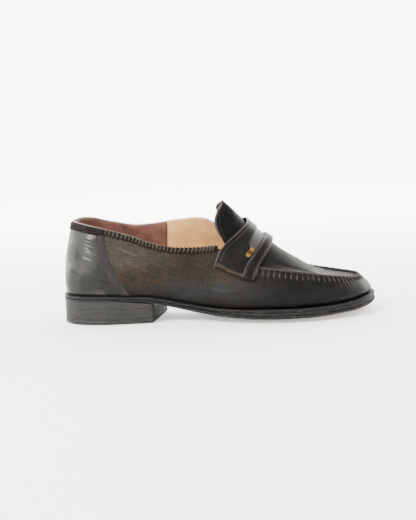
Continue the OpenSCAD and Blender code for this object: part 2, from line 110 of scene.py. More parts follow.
def ring(P, u):
    n = len(P)
    u = np.mod(np.asarray(u, float), n)
    i = np.floor(u).astype(int)
    t = u - i
    if P.ndim == 2:
        t = t[..., None]
    return catmull(P[(i - 1) % n], P[i % n], P[(i + 1) % n], P[(i + 2) % n], t)


def line(P, u):
    n = len(P)
    u = np.asarray(u, float)
    i = np.clip(np.floor(u), 0, n - 2).astype(int)
    t = (u - i)[..., None]
    return catmull(P[np.maximum(i - 1, 0)], P[i], P[i + 1], P[np.minimum(i + 2, n - 1)], t)


def prof(k, x):
    x = np.asarray(x, float)
    X, n = STACK[:, 0], len(STACK)
    i = np.clip(np.searchsorted(X, x) - 1, 0, n - 2)
    t = np.clip((x - X[i]) / (X[i + 1] - X[i]), 0, 1)
    c = STACK[:, k]
    return catmull(c[np.maximum(i - 1, 0)], c[i], c[i + 1], c[np.minimum(i + 2, n - 1)], t)


def unit(v):
    return v / np.maximum(np.linalg.norm(v, axis=-1, keepdims=True), 1e-9)


def smooth(x, a, b):
    t = np.clip((np.asarray(x, float) - a) / (b - a), 0, 1)
    return t * t * (3 - 2 * t)


def bell(x, at, width):
    return np.exp(-(((x - at) / width) ** 2))


def out2(u):
    d = ring(EDGE, np.asarray(u) + 0.35) - ring(EDGE, np.asarray(u) - 0.35)
    return unit(np.stack([d[..., 1], -d[..., 0]], -1))


def out3(u):
    o = out2(u)
    return np.concatenate([o, o[..., :1] * 0], -1)


def inset(u):
    k = np.clip((ring(EDGE, u)[..., 0] + 60) / 120, 0, 1)
    return 3.6 + 2.6 * k


def edge_in(u, d):
    """Points of the sole's plan, moved inwards by d."""
    return ring(EDGE, u) - out2(u) * np.asarray(d)[..., None]


def feather(u):
    p = edge_in(u, inset(u))
    return np.concatenate([p, (prof(3, p[..., 0]) + 0.35)[..., None]], -1)


def wall0(u, s):
    u, s = grids(u, s)
    f, r, o = feather(u), ring(RIM, u), out3(u)
    g = (np.sin(np.pi * np.clip(s, 0, 1) ** 0.72) * ring(SWELL, u))[..., None]
    return f + (r - f) * s[..., None] + o * g


def wall_n(u, s):
    u, s = grids(u, np.clip(s, 0.02, 0.98))
    du = wall0(u + 0.15, s) - wall0(u - 0.15, s)
    ds = wall0(u, np.minimum(1, s + 0.03)) - wall0(u, np.maximum(0, s - 0.03))
    return unit(np.cross(du, ds))


def wall(u, s, d):
    u, s, d = grids(u, s, d)
    return wall0(u, s) + wall_n(u, s) * d[..., None]


def arch0(j, w):
    j, w = grids(j, w)
    a, b, c = ring(RIM, j), ring(RIM, STATIONS - j), line(CROWN, j - 6)
    q = np.where(j < 8, 1.3 + 1.067 * (j - 6.5), np.where(j > 12, 2.4, 2.9 - 0.125 * (j - 8)))
    k = (1 - np.abs(2 * w - 1) ** q)[..., None]
    return a + (b - a) * w[..., None] + (c - (a + b) / 2) * k


def arch_n(j, w):
    j, w = grids(j, np.clip(w, 0.02, 0.98))
    dj = arch0(j + 0.12, w) - arch0(j - 0.12, w)
    dw = arch0(j, np.minimum(1, w + 0.03)) - arch0(j, np.maximum(0, w - 0.03))
    return unit(np.cross(dj, dw))


def arch(j, w, d):
    j, w, d = grids(j, w, d)
    return arch0(j, w) + arch_n(j, w) * d[..., None]


def rib0(j, v):
    """Surface under the saddle: the wall low down, the arch on top, rounded into each other."""
    j, v = grids(j, v)
    w = np.clip(0.1 + (v - 0.88) / 0.24 * 0.8, 0.1, 0.9)
    out = arch0(j, w)
    for jj, vv, e in ((j, v, 0.1), (STATIONS - j, 2 - v, 0.9)):
        low = wall0(jj, np.clip(vv / 0.8, 0, 0.9))
        t = np.clip((vv - 0.72) / 0.16, 0, 1)[..., None]
        mid = wall0(jj, 0.9) * (1 - t) ** 2 + ring(RIM, jj) * 2 * t * (1 - t) + arch0(j, e) * t * t
        out = np.where((vv < 0.88)[..., None], np.where((vv < 0.72)[..., None], low, mid), out)
    return out


def rib_n(j, v):
    j, v = grids(j, v)
    return unit(np.cross(rib0(j + 0.12, v) - rib0(j - 0.12, v), rib0(j, v + 0.012) - rib0(j, v - 0.012)))


def rib(j, v, d):
    j, v, d = grids(j, v, d)
    return rib0(j, v) + rib_n(j, v) * d[..., None]


# ---- meshes
def place(name, data):
    o = bpy.data.objects.new(name, data)
    bpy.context.scene.collection.objects.link(o)
    return o


def obj(name, mesh, mat, nodes=(), ride=True):
    """Piece made of (points, faces), in place of its CAD nodes."""
    points = np.asarray(mesh[0], float).reshape(-1, 3) * MM
    me = bpy.data.meshes.new(name)
    me.from_pydata(points.tolist(), [], [list(map(int, f)) for f in mesh[1]])
    me.validate()
    me.polygons.foreach_set("use_smooth", [True] * len(me.polygons))
    me.materials.append(mat)
    o = place(name, me)
    if nodes:
        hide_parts(*nodes)
    if ride:
        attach(o, "shoe")
    return o


def shell(A, B, mask=None):
    """Closed sheet between an outer grid A and an inner grid B; mask says which cells are there."""
    n, m = A.shape[:2]
    M = np.ones((n - 1, m - 1), bool) if mask is None else mask
    idx = np.arange(n * m).reshape(n, m)
    s = n * m
    F = []
    for i in range(n - 1):
        for k in range(m - 1):
            if not M[i, k]:
                continue
            a, b, c, d = idx[i, k], idx[i, k + 1], idx[i + 1, k], idx[i + 1, k + 1]
            F += [(b, d, c, a), (s + c, s + d, s + b, s + a)]
            if i == 0 or not M[i - 1, k]:
                F.append((s + a, s + b, b, a))
            if i == n - 2 or not M[i + 1, k]:
                F.append((d, s + d, s + c, c))
            if k == 0 or not M[i, k - 1]:
                F.append((c, s + c, s + a, a))
            if k == m - 2 or not M[i, k + 1]:
                F.append((s + b, s + d, d, b))
    V = np.concatenate([A.reshape(-1, 3), B.reshape(-1, 3)])
    used = sorted({v for f in F for v in f})
    new = {v: k for k, v in enumerate(used)}
    return V[used], [[new[v] for v in f] for f in F]


def bands(R, N, wrap=False):
    """Faces between R rings of N points each."""
    return [(r * N + i, (r + 1) % R * N + i, (r + 1) % R * N + (i + 1) % N, r * N + (i + 1) % N)
            for r in range(R if wrap else R - 1) for i in range(N)]


def skin(R, N, down=False):
    """The same with both ends closed; down is for rings that are stacked the other way."""
    F = bands(R, N) + [tuple(range(N)), tuple(range((R - 1) * N, R * N))[::-1]]
    return F if down else [f[:1] + f[:0:-1] for f in F]


def tube(path, r, n=8, taper=0.0):
    """Round bar along a path; r may vary along it."""
    P = np.asarray(path, float)
    r = r * (1 - taper * (2 * np.abs(np.linspace(0, 1, len(P)) - 0.5)) ** 3)
    T = unit(np.gradient(P, axis=0))
    N = np.cross(T, [0.0, 0.0, 1.0])
    steep = np.linalg.norm(N, axis=1) < 0.15
    N[steep] = np.cross(T[steep], [1.0, 0.0, 0.0])
    N = unit(N)
    B = np.cross(T, N)
    a = np.linspace(0, 2 * np.pi, n, endpoint=False)[None, :, None]
    V = P[:, None] + r[:, None, None] * (N[:, None] * np.cos(a) + B[:, None] * np.sin(a))
    return V.reshape(-1, 3), skin(len(P), n)


def merge(parts):
    V, F, o = [], [], 0
    for v, f in parts:
        V.append(v)
        F += [tuple(int(i) + o for i in q) for q in f]
        o += len(v)
    return np.concatenate(V), F


def stitches(P, N, pitch=2.6, fill=0.72, r=0.27, sink=0.08):
    """Single thread stitches along a path P with surface normals N."""
    P, N = np.asarray(P, float), np.asarray(N, float)
    L = np.concatenate([[0], np.cumsum(np.linalg.norm(np.diff(P, axis=0), axis=1))])

    def at(q, A):
        return np.stack([np.interp(q, L, A[:, k]) for k in range(3)], -1)

    h = 1 - np.linspace(-1, 1, 6) ** 4
    parts = []
    for i in range(int(L[-1] / pitch)):
        q = (i + 0.5) * pitch + np.linspace(-0.5, 0.5, 6) * pitch * fill
        parts.append(tube(at(q, P) + unit(at(q, N)) * (r * (h - 0.8) - sink)[:, None], r, 6))
    return parts


def grooves(P, segs, width, depth):
    """Displacement of points P (..., 3) by soft creases; each is a list of x, z points."""
    d = np.zeros(P.shape[:-1])
    q = P[..., [0, 2]]
    for pts in segs:
        pts = np.asarray(pts, float)
        best = np.full(d.shape, 1e9)
        along = np.zeros(d.shape)
        for k, (a, b) in enumerate(zip(pts[:-1], pts[1:])):
            ab = b - a
            t = np.clip(((q - a) @ ab) / (ab @ ab), 0, 1)
            e = np.linalg.norm(q - (a + t[..., None] * ab), axis=-1)
            along = np.where(e < best, (k + t) / (len(pts) - 1), along)
            best = np.minimum(best, e)
        w = width * (0.6 + 0.4 * np.sin(np.pi * along))
        swell = np.sin(np.pi * np.clip(along, 0.03, 0.97))
        d += depth * (0.45 * swell * bell(best, 2.2 * w, 1.6 * w) - swell ** 0.5 * bell(best, 0, w))
    return d


LATTICE = np.random.RandomState(7).rand(64, 64, 64)


def noise3(P, size):
    """Smooth value noise in -1..1 with features of that size in mm."""
    q = np.asarray(P, float) / size + 31.7
    i = np.floor(q).astype(int)
    f = q - i
    f = f * f * (3 - 2 * f)
    out = 0
    for corner in np.ndindex(2, 2, 2):
        weight = np.prod(np.where(corner, f, 1 - f), axis=-1)
        x, y, z = np.moveaxis((i + corner) % 64, -1, 0)
        out = out + weight * LATTICE[x, y, z]
    return out * 2 - 1


# ---- materials
class Nodes:
    """A material: a Principled shader fed by nodes, in object coordinates."""

    def __init__(self, name):
        self.m = bpy.data.materials.new(name)
        self.m.use_nodes = True
        self.t = self.m.node_tree
        self.t.nodes.clear()
        self.out = self.add("ShaderNodeOutputMaterial")
        self.b = self.add("ShaderNodeBsdfPrincipled")
        self.t.links.new(self.b.outputs[0], self.out.inputs[0])
        self.co = self.add("ShaderNodeTexCoord").outputs["Object"]

    def add(self, kind, inputs=(), **settings):
        n = self.t.nodes.new(kind)
        for k, v in settings.items():
            setattr(n, k, v)
        for k, v in dict(inputs).items():
            self.put(n.inputs[k], v)
        return n

    def put(self, sock, v):
        if isinstance(v, bpy.types.NodeSocket):
            self.t.links.new(v, sock)
        else:
            sock.default_value = v

    def noise(self, scale, detail=3, rough=0.55, vec=None, dist=0.0):
        inputs = {"Vector": vec or self.co, "Scale": scale, "Detail": detail, "Roughness": rough}
        return self.add("ShaderNodeTexNoise", {**inputs, "Distortion": dist}).outputs["Fac"]

    def voronoi(self, scale, feature="F1"):
        n = self.add("ShaderNodeTexVoronoi", {"Vector": self.co, "Scale": scale}, feature=feature)
        return n.outputs["Distance"]

    def stretch(self, *scale):
        return self.add("ShaderNodeMapping", {"Vector": self.co, "Scale": scale}).outputs[0]

    def span(self, v, a, b, lo=0.0, hi=1.0):
        inputs = {0: v, 1: a, 2: b, 3: lo, 4: hi}
        return self.add("ShaderNodeMapRange", inputs, interpolation_type="SMOOTHSTEP").outputs[0]

    def math(self, op, a, b):
        return self.add("ShaderNodeMath", {0: a, 1: b}, operation=op).outputs[0]

    def times(self, a, b):
        return self.math("MULTIPLY", a, b)

    def mix(self, f, a, b):
        a, b = (v if isinstance(v, bpy.types.NodeSocket) else (*v, 1) for v in (a, b))
        return self.add("ShaderNodeMix", {0: f, 6: a, 7: b}, data_type="RGBA").outputs[2]

    def axis(self, k):
        return self.add("ShaderNodeSeparateXYZ", {0: self.co}).outputs[k]

    def bumps(self, items):
        """Bumps laid over each other, each (height, strength, distance in mm)."""
        last = None
        for height, strength, dist in items:
            n = self.add("ShaderNodeBump", {"Strength": strength, "Distance": dist * MM, "Height": height})
            if last:
                self.t.links.new(last, n.inputs["Normal"])
            last = n.outputs[0]
        self.t.links.new(last, self.b.inputs["Normal"])

    def set(self, **kw):
        names = {"color": "Base Color", "rough": "Roughness", "metal": "Metallic", "coat": "Coat Weight",
                 "coat_rough": "Coat Roughness", "spec": "Specular IOR Level", "sheen": "Sheen Weight"}
        for k, v in kw.items():
            s = self.b.inputs[names[k]]
            if k == "color" and not isinstance(v, bpy.types.NodeSocket):
                v = (*v, 1)
            self.put(s, v)
        return self.m


def grey(v):
    return v, v, v


def quarter_mask(m):
    """Where the upper is worn brown: on the quarters, fading to the toe and just above the sole."""
    x, z = m.axis(0), m.axis(2)
    along_x = m.times(m.span(x, -0.125, -0.09), m.span(x, 0.06, -0.01, 0.08, 1.0))
    return m.times(along_x, m.span(z, 0.024, 0.04, 0.25, 1.0))


def quarter_sheen_and_speckles(m, col):
    """A painted bluish sheen in a band low on the quarters, and grey speckles high up near the counter."""
    z, x = m.axis(2), m.axis(0)
    # Band low on the quarters where a bluish sheen is painted.
    low = m.times(m.span(z, 0.016, 0.026), m.span(z, 0.046, 0.028))
    low = m.times(low, m.span(m.noise(48, 4, 0.6), 0.3, 0.7, 0.25, 0.8))
    col = m.mix(m.times(low, m.span(x, 0.07, 0.02)), col, (0.010, 0.0112, 0.0126))
    high = m.times(m.span(z, 0.046, 0.062), m.span(x, -0.03, -0.08))
    high = m.times(high, m.span(m.noise(1300, 2, 0.8), 0.42, 0.62))
    return m.mix(m.times(high, 0.75), col, (0.04, 0.0375, 0.0345))


def black_leather(name, dark, light, warm, worn=False, rough=(0.38, 0.56), grain=0.3, spec=0.16, ridge_wear_and_highlight=None,
                  patches=False):
    """Black leather, rubbed to warm. The ridge colour goes on raised edges, partly as rubbed wear and partly as
    painted highlight; with it, hollows get painted shade near black. patches are glossy spots.
    """
    m = Nodes(name)
    cloud = m.noise(34, 5, 0.62)
    fine = m.noise(420, 3, 0.6)
    col = m.mix(m.span(cloud, 0.35, 0.7), dark, light)
    rub = m.span(m.noise(22, 4, 0.6, dist=0.3), 0.25, 0.7, 0.3, 1.0)
    rub = m.times(rub, m.span(m.noise(900, 2, 0.7), 0.35, 0.68, 0.3, 1.0))
    col = m.mix(m.times(rub, quarter_mask(m) if worn else 0.2), col, warm)
    cells = m.voronoi(1050, "SMOOTH_F1")
    pores = m.span(m.voronoi(640), 0.0, 0.22)
    col = m.mix(m.span(cells, 0.2, 0.75, 0.0, 0.5), col, tuple(c * 0.4 for c in dark))
    if worn:
        col = quarter_sheen_and_speckles(m, col)
    if ridge_wear_and_highlight:
        point = m.add("ShaderNodeNewGeometry").outputs["Pointiness"]
        # Raised edges lighter: partly rubbed wear, partly painted highlight.
        col = m.mix(m.span(point, 0.508, 0.56), col, ridge_wear_and_highlight)
        # Hollows near black: painted shade in creases, grooves and gaps.
        col = m.mix(m.span(point, 0.475, 0.42), col, grey(0.001))
    roughness = m.math("ADD", m.span(cloud, 0.3, 0.75, *rough), m.span(fine, 0.3, 0.8, -0.04, 0.07))
    m.bumps([(m.noise(55, 3, 0.5), 0.3, 0.6), (cells, grain, -0.2), (pores, grain * 0.6, 0.1),
             (m.noise(2400, 2), 0.12, 0.05)])
    coat = m.span(m.noise(36, 3, 0.5), 0.46, 0.66, 0.0, 0.42) if patches else 0.0
    return m.set(color=col, rough=roughness, coat=coat, coat_rough=0.3, spec=spec)


# The ridge colours below paint raised edges lighter, partly rubbed wear and partly painted highlight; these
# materials also paint shade into hollows.
M_UPPER = black_leather("upper_leather", grey(0.0018), (0.0038, 0.0036, 0.0035), (0.035, 0.0235, 0.0147),
                        worn=True, grain=0.42, spec=0.07, ridge_wear_and_highlight=(0.07, 0.059, 0.048))
M_COUNTER = black_leather("counter_leather", grey(0.003), grey(0.010), (0.03, 0.026, 0.022),
                          rough=(0.36, 0.5), grain=0.12, spec=0.17, patches=True)
M_VAMP = black_leather("vamp_leather", grey(0.0025), (0.006, 0.006, 0.0058), (0.02, 0.017, 0.014),
                       rough=(0.55, 0.7), grain=0.24, spec=0.06, ridge_wear_and_highlight=(0.03, 0.027, 0.024))
M_TONGUE = black_leather("tongue_leather", grey(0.0012), (0.003, 0.003, 0.0029), (0.008, 0.007, 0.006),
                         rough=(0.5, 0.65), spec=0.04)
# Lighter than the other black leathers: a painted highlight on the rolled edges of bindings and piping.
M_PIPE_HIGHLIGHT = black_leather("edge_leather_painted_highlight", (0.012, 0.0115, 0.011), (0.036, 0.034, 0.031), (0.08, 0.062, 0.046),
                       rough=(0.36, 0.52), grain=0.15, spec=0.25)
M_STRAP = black_leather("strap_leather", grey(0.002), (0.004, 0.0038, 0.0036), (0.018, 0.014, 0.010),
                        grain=0.24, spec=0.07)
M_TOP = black_leather("topline_leather", (0.004, 0.004, 0.0038), (0.011, 0.010, 0.009), (0.035, 0.026, 0.02),
                      rough=(0.6, 0.75), spec=0.03)
# Strip: raised middle lighter as a painted highlight, grooves near black as painted shade.
M_BIND = black_leather("strip_leather", grey(0.0025), (0.006, 0.006, 0.0058), (0.02, 0.016, 0.013),
                       rough=(0.3, 0.42), spec=0.2, ridge_wear_and_highlight=(0.03, 0.029, 0.027))


def lining_leather(name, base, dark, rough=0.5, coat=0.0, spec=0.4):
    m = Nodes(name)
    n = m.noise(60, 5, 0.6)
    col = m.mix(m.span(n, 0.3, 0.75), base, dark)
    pores = m.span(m.voronoi(1400), 0.0, 0.3)
    col = m.mix(m.span(pores, 0.6, 0.0, 0, 0.4), col, tuple(c * 0.6 for c in dark))
    m.bumps([(m.noise(45, 3), 0.3, 0.5), (pores, 0.2, 0.08), (m.noise(900, 3), 0.15, 0.06)])
    roughness = m.span(n, 0.2, 0.8, rough - 0.1, rough + 0.12)
    return m.set(color=col, rough=roughness, coat=coat, coat_rough=0.2, spec=spec)


M_TAN = lining_leather("lining_leather", (0.56, 0.31, 0.108), (0.42, 0.205, 0.065))
M_HEEL = lining_leather("heel_lining_leather", (0.12, 0.055, 0.042), (0.055, 0.024, 0.018), 0.4, 0.05, 0.14)
M_SOCK = lining_leather("sock_leather", (0.42, 0.24, 0.11), (0.2, 0.1, 0.05), 0.55)
M_PAD = lining_leather("heel_pad_leather", (0.14, 0.06, 0.035), (0.07, 0.03, 0.02), 0.45)
M_TLIN = lining_leather("tongue_lining_leather", (0.06, 0.035, 0.022), (0.03, 0.018, 0.012), 0.55)
M_INSOLE = lining_leather("insole_leather", (0.45, 0.29, 0.15), (0.3, 0.18, 0.09), 0.65)


def thread(name, a, b):
    m = Nodes(name)
    n = m.noise(1600, 2)
    m.bumps([(m.noise(2600, 2, vec=m.stretch(1, 1, 3)), 0.4, 0.06)])
    return m.set(color=m.mix(n, a, b), rough=m.span(n, 0.2, 0.8, 0.5, 0.75), spec=0.2)


M_THREAD = thread("thread", (0.006, 0.0055, 0.005), (0.024, 0.022, 0.02))
M_WHIP = thread("thread_topline", (0.01, 0.008, 0.0065), (0.05, 0.034, 0.022))
M_LOW = thread("thread_ends", (0.012, 0.009, 0.006), (0.075, 0.052, 0.033))
M_THREAD2 = thread("thread_strap", (0.016, 0.015, 0.014), (0.06, 0.055, 0.048))


def sole_edge(name, dark, light, warm, breast_finish_and_shade=False):
    """Edge of stacked layers. The breast flag makes the heel's flat front face near black, partly its black
    finish and partly painted shade.
    """
    m = Nodes(name)
    streak = m.noise(70, 5, 0.65, vec=m.stretch(1, 1, 9))
    layers = m.noise(108, 2, 0.5, vec=m.stretch(0.15, 0.15, 9))
    col = m.mix(m.span(streak, 0.35, 0.72), dark, light)
    col = m.mix(m.times(m.span(m.noise(130, 5, 0.7), 0.58, 0.76), 0.4), col, warm)
    shine = 0.12
    if breast_finish_and_shade:
        # Forward-facing breast near black: partly the heel's black finish, partly painted shade.
        normal = m.add("ShaderNodeSeparateXYZ", {0: m.add("ShaderNodeNewGeometry").outputs["Normal"]})
        front = m.times(m.span(normal.outputs[0], 0.6, 0.85), m.span(m.axis(0), -0.085, -0.08))
        col = m.mix(front, col, (0.0025, 0.0025, 0.0026))
        shine = m.span(front, 0.0, 1.0, 0.14, 0.04)
    rough_cut = m.noise(500, 4, 0.7, vec=m.stretch(1, 1, 4))
    m.bumps([(layers, 0.12, 0.2), (rough_cut, 0.35, 0.16), (m.noise(90, 4), 0.25, 0.5)])
    return m.set(color=col, rough=m.span(streak, 0.25, 0.8, 0.46, 0.7), spec=shine)


M_EDGE = sole_edge("sole_edge", (0.0055, 0.0055, 0.0058), (0.014, 0.014, 0.0145), (0.055, 0.045, 0.036))
M_MID = sole_edge("midsole_edge", grey(0.0045), grey(0.013), (0.04, 0.032, 0.026))
M_WELT = sole_edge("welt_leather", (0.004, 0.004, 0.0045), (0.012, 0.012, 0.013), (0.035, 0.028, 0.022))
M_LIFTS = sole_edge("lift_leather", (0.013, 0.0127, 0.0127), (0.022, 0.0215, 0.0215), (0.06, 0.05, 0.04),
                    breast_finish_and_shade=True)
M_RUBBER = sole_edge("top_lift_rubber", (0.013, 0.0125, 0.0125), (0.024, 0.0235, 0.0235), (0.05, 0.04, 0.032),
                     breast_finish_and_shade=True)


def tread(name):
    """Worn leather tread: brown where it meets the ground, black-dyed in the waist and at the rim."""
    m = Nodes(name)
    n = m.noise(30, 6, 0.65)
    scuff = m.noise(160, 6, 0.75, vec=m.stretch(1, 0.35, 1))
    col = m.mix(m.span(n, 0.3, 0.7), (0.13, 0.085, 0.055), (0.22, 0.15, 0.1))
    col = m.mix(m.span(scuff, 0.5, 0.72, 0, 0.7), col, (0.06, 0.045, 0.035))
    x = m.axis(0)
    black = m.math("MAXIMUM", m.span(x, 0.035, 0.0), m.span(x, 0.132, 0.15))
    col = m.mix(black, col, m.mix(m.span(n, 0.3, 0.7), (0.015, 0.014, 0.013), (0.04, 0.035, 0.03)))
    m.bumps([(scuff, 0.5, 0.4), (m.noise(700, 4, 0.7), 0.3, 0.12), (m.noise(60, 3), 0.3, 0.6)])
    return m.set(color=col, rough=m.span(scuff, 0.3, 0.8, 0.55, 0.85))


M_TREAD = tread("tread_leather")


def plain(name, a, b, scale=80, rough=(0.6, 0.85), metal=0.0, bump=0.3):
    m = Nodes(name)
    n = m.noise(scale, 5, 0.65)
    m.bumps([(m.noise(scale * 6, 4, 0.7), bump, 0.2)])
    return m.set(color=m.mix(m.span(n, 0.3, 0.7), a, b), rough=m.span(n, 0.2, 0.8, *rough), metal=metal)


M_CORK = plain("cork", (0.35, 0.22, 0.12), (0.5, 0.34, 0.2), 300)
M_BOARD = plain("fibreboard", (0.42, 0.31, 0.2), (0.5, 0.39, 0.26), 500)
M_STEEL = plain("shank_steel", (0.5, 0.5, 0.52), (0.62, 0.62, 0.64), 200, (0.3, 0.45), 1.0, 0.1)
M_BRAD = plain("brad_steel", (0.4, 0.38, 0.34), (0.6, 0.57, 0.5), 400, (0.35, 0.55), 1.0, 0.2)
M_BACK = plain("backing_leather", (0.006, 0.006, 0.006), (0.014, 0.013, 0.012), 400, (0.5, 0.7))


def gold(name, at):
    """Worn gilding of the bar, darkened round the point at."""
    m = Nodes(name)
    n = m.noise(260, 4, 0.6)
    col = m.mix(m.span(n, 0.4, 0.75), (0.27, 0.132, 0.03), (0.12, 0.06, 0.017))
    near = m.add("ShaderNodeVectorMath", {0: m.co, 1: [float(c) * MM for c in at]}, operation="DISTANCE")
    uneven = m.math("ADD", near.outputs["Value"], m.span(n, 0.3, 0.7, -0.0006, 0.0006))
    col = m.mix(m.span(uneven, 0.0029, 0.0014, 0, 0.85), col, (0.03, 0.018, 0.01))
    m.bumps([(m.noise(900, 3), 0.25, 0.12)])
    return m.set(color=col, rough=m.span(n, 0.3, 0.8, 0.3, 0.48), metal=1.0)


# ---- CAD nodes that stay, with a new material
for node, mat in {"cork_filler": M_CORK, "heel_seat_board": M_BOARD, "shank": M_STEEL, "insole": M_INSOLE,
                  "counter_stiffener": M_BOARD, "toe_puff": M_BOARD}.items():
    o = frame["nodes"][node]
    o.data.materials.clear()
    o.data.materials.append(mat)


# ---- sole unit
ACROSS = 14


def cap(V, F, base, N, n, z_face, top, last=None):
    """Closes the ring of N points from index base by n rows across, and marks the rim cells with 0.

    z_face(x, e) is the height at e, from 0 in the middle to 1 at the edge. last is the last row, if known.
    """
    w = np.linspace(0, 1, ACROSS + 1)[1:-1]
    rows, mats = [], []
    for i in range(n + 1):
        a, b = base + i, base + (N - i) % N
        if a == b or (last and i == n):
            rows.append([a] if a == b else last)
            continue
        p = V[a] * (1 - w)[:, None] + V[b] * w[:, None]
        p[:, 2] = z_face(p[:, 0], np.abs(2 * w - 1))
        rows.append([a, *range(len(V), len(V) + len(p)), b])
        V = np.concatenate([V, p])
    for A, B in zip(rows[:-1], rows[1:]):
        for k in range(ACROSS):
            if len(A) == 1:
                f = (A[0], B[k], B[k + 1])
            elif len(B) == 1:
                f = (B[0], A[k + 1], A[k])
            else:
                f = (A[k], B[k], B[k + 1], A[k + 1])
            F.append(f if top else f[::-1])
            mats.append(0 if len(f) == 4 and k in (0, ACROSS - 1) else 1)
    return V, mats


def slab(name, rings, mat_side, mat_face, face_z, nodes, n=200):
    """Solid with the sole's plan.

    rings are (inset, z(x)) from the top's inner edge, over the side, to the bottom's inner edge. face_z is for
    the top and bottom faces, or None for a strip that is open in the middle.
    """
    N, R = 2 * n, len(rings)
    u = np.arange(N) * STATIONS / N
    V = []
    for d, z in rings:
        p = edge_in(u, d)
        V.append(np.column_stack([p, z(p[:, 0])]))
    V = np.concatenate(V)
    F = bands(R, N, wrap=face_z is None)
    mats = [0] * len(F)
    if face_z:
        for r, z_face in ((0, face_z[0]), (R - 1, face_z[1])):
            V, flags = cap(V, F, r * N, N, n, z_face, r == 0)
            mats += flags
    o = obj(name, (V, F), mat_side, nodes)
    o.data.materials.append(mat_face)
    o.data.polygons.foreach_set("material_index", mats)


def level(k, dz=0.0):
    """Height function: profile k of the sole's stack, raised by dz."""
    return lambda x: prof(k, x) + dz


def curl(x):
    """Rise of the tread at its edge: larger under the ball."""
    return 2.2 * (1 + 0.75 * smooth(x, -10, 35) * np.clip((152 - x) / 50, 0, 1))


def low(dz):
    return lambda x: prof(1, x) + curl(x) + dz


def over(dz, floor):
    return lambda x: np.maximum(prof(3, x) - 2.3 + dz, prof(2, x) + floor)


slab("outsole_leather",
     [(2.5, level(2)), (0.5, level(2)), (0.12, level(2, -0.12)), (0.0, level(2, -0.5)), (0.0, level(2, -1.1)),
      (0.16, level(2, -1.3)), (0.02, level(2, -1.5)), (0.0, low(0.9)), (0.1, low(0.45)), (0.42, low(0.12)),
      (1.1, low(-0.12))],
     M_EDGE, M_TREAD,
     (lambda x, e: prof(2, x), lambda x, e: prof(1, x) + curl(x) * e ** 5 - 0.12 * smooth(e, 0.8, 1.0)),
     ["outsole"])
slab("midsole_leather",
     [(3.4, over(-0.05, 0.1)), (1.2, over(-0.05, 0.1)), (0.8, over(-0.25, 0.1)), (0.66, over(-0.7, 0.08)),
      (0.66, level(2, 0.9)), (0.8, level(2, 0.3)), (2.2, level(2, 0.05))],
     M_MID, M_MID,
     (lambda x, e: over(-0.05, 0.1)(x), lambda x, e: prof(2, x) + 0.05),
     ["midsole"])
slab("welt_strip",
     [(11.0, level(3)), (2.9, level(3)), (2.5, level(3, -0.28)), (2.1, level(3)), (0.9, level(3)),
      (0.4, level(3, -0.15)), (0.2, level(3, -0.6)), (0.2, level(3, -1.7)), (0.5, level(3, -2.1)),
      (1.0, level(3, -2.25)), (11.0, level(3, -2.25))],
     M_WELT, M_WELT, None, ["welt"])


def flat_stitches(name, u, d, dz, mat, **size):
    """Stitches on a level face over profile 3, along stations u at the inset d."""
    p = edge_in(u, d)
    P = np.column_stack([p, prof(3, p[:, 0]) + dz])
    obj(name, merge(stitches(P, np.tile([0, 0, 1.0], (len(P), 1)), **size)), mat, ())


flat_stitches("welt_stitches", np.linspace(0, STATIONS, 1400)[:-1], 2.5, -0.12, M_THREAD,
              pitch=3.4, fill=0.74, r=0.36, sink=0.0)


# stations from the back of the heel to its front corners
BREAST_OUTER, BREAST_INNER = 5.22, 5.45


def heel_layer(name, rings, top, bottom, mat, nodes):
    """Layer of the heel stack: rings of (inset, z(x)) down its side, closed above and below."""
    n = 60
    k = np.linspace(0, 1, n + 1)
    w = np.linspace(0, 1, ACROSS + 1)[1:-1, None]
    V = []
    for d, z in rings:
        back = (d * smooth(k, 0.92, 1.0))[:, None] * np.array([[1.0, 0.0]])
        left = edge_in(k * BREAST_OUTER, d) - back
        right = edge_in(STATIONS - k * BREAST_INNER, d) - back
        loop = np.concatenate([left, left[-1] + (right[-1] - left[-1]) * w, right[:0:-1]])
        V.append(np.column_stack([loop, z(loop[:, 0])]))
    N, R = len(V[0]), len(rings)
    V = np.concatenate(V)
    F = bands(R, N)
    for r, z in ((0, top), (R - 1, bottom)):
        V, _ = cap(V, F, r * N, N, n, lambda x, e: z(x), r == 0, [r * N + n + q for q in range(ACROSS + 1)])
    obj(name, (V, F), mat, nodes)


def flat(z):
    return lambda x: np.full_like(x, z)


def lift(name, d, z0, top, node):
    """Leather lift, inset by d, from the height z0 up to the height function top."""
    def under(dz):
        return lambda x: top(x) + dz

    heel_layer(name,
               [(d + 2.5, top), (d + 0.14, top), (d, under(-0.12)), (d, under(-0.5)),
                (d + 0.06, lambda x: (z0 + top(x)) / 2), (d, flat(z0 + 0.5)), (d, flat(z0 + 0.12)),
                (d + 0.14, flat(z0)), (d + 2.5, flat(z0))],
               top, flat(z0), M_LIFTS, [node])


lift("heel_lift_1", 0.3, 4.7, flat(9.68), "heel_lift_lower")
lift("heel_lift_2", 0.22, 9.72, flat(14.7), "heel_lift_middle")
lift("heel_lift_3", 0.26, 14.74, lambda x: np.maximum(prof(1, x) + 1.2, 14.9), "heel_lift_wedge")
heel_layer("heel_top_lift",
           [(2.5, flat(4.6)), (0.3, flat(4.6)), (0.06, flat(4.4)), (0.04, flat(2.6)), (0.06, flat(1.2)),
            (0.5, flat(0.35)), (1.3, flat(0.0)), (2.6, flat(0.0))],
           flat(4.6), flat(0.0), M_RUBBER, ["top_lift"])


def brad(x, y, n=14):
    a = np.linspace(0, 2 * np.pi, n, endpoint=False)
    profile = [(0.9, 0.9), (1.05, 0.35), (0.95, 0.08), (0.55, 0.02)]
    points = [[x + r * math.cos(t), y + r * math.sin(t), z] for r, z in profile for t in a]
    return np.array(points), skin(len(profile), n, down=True)


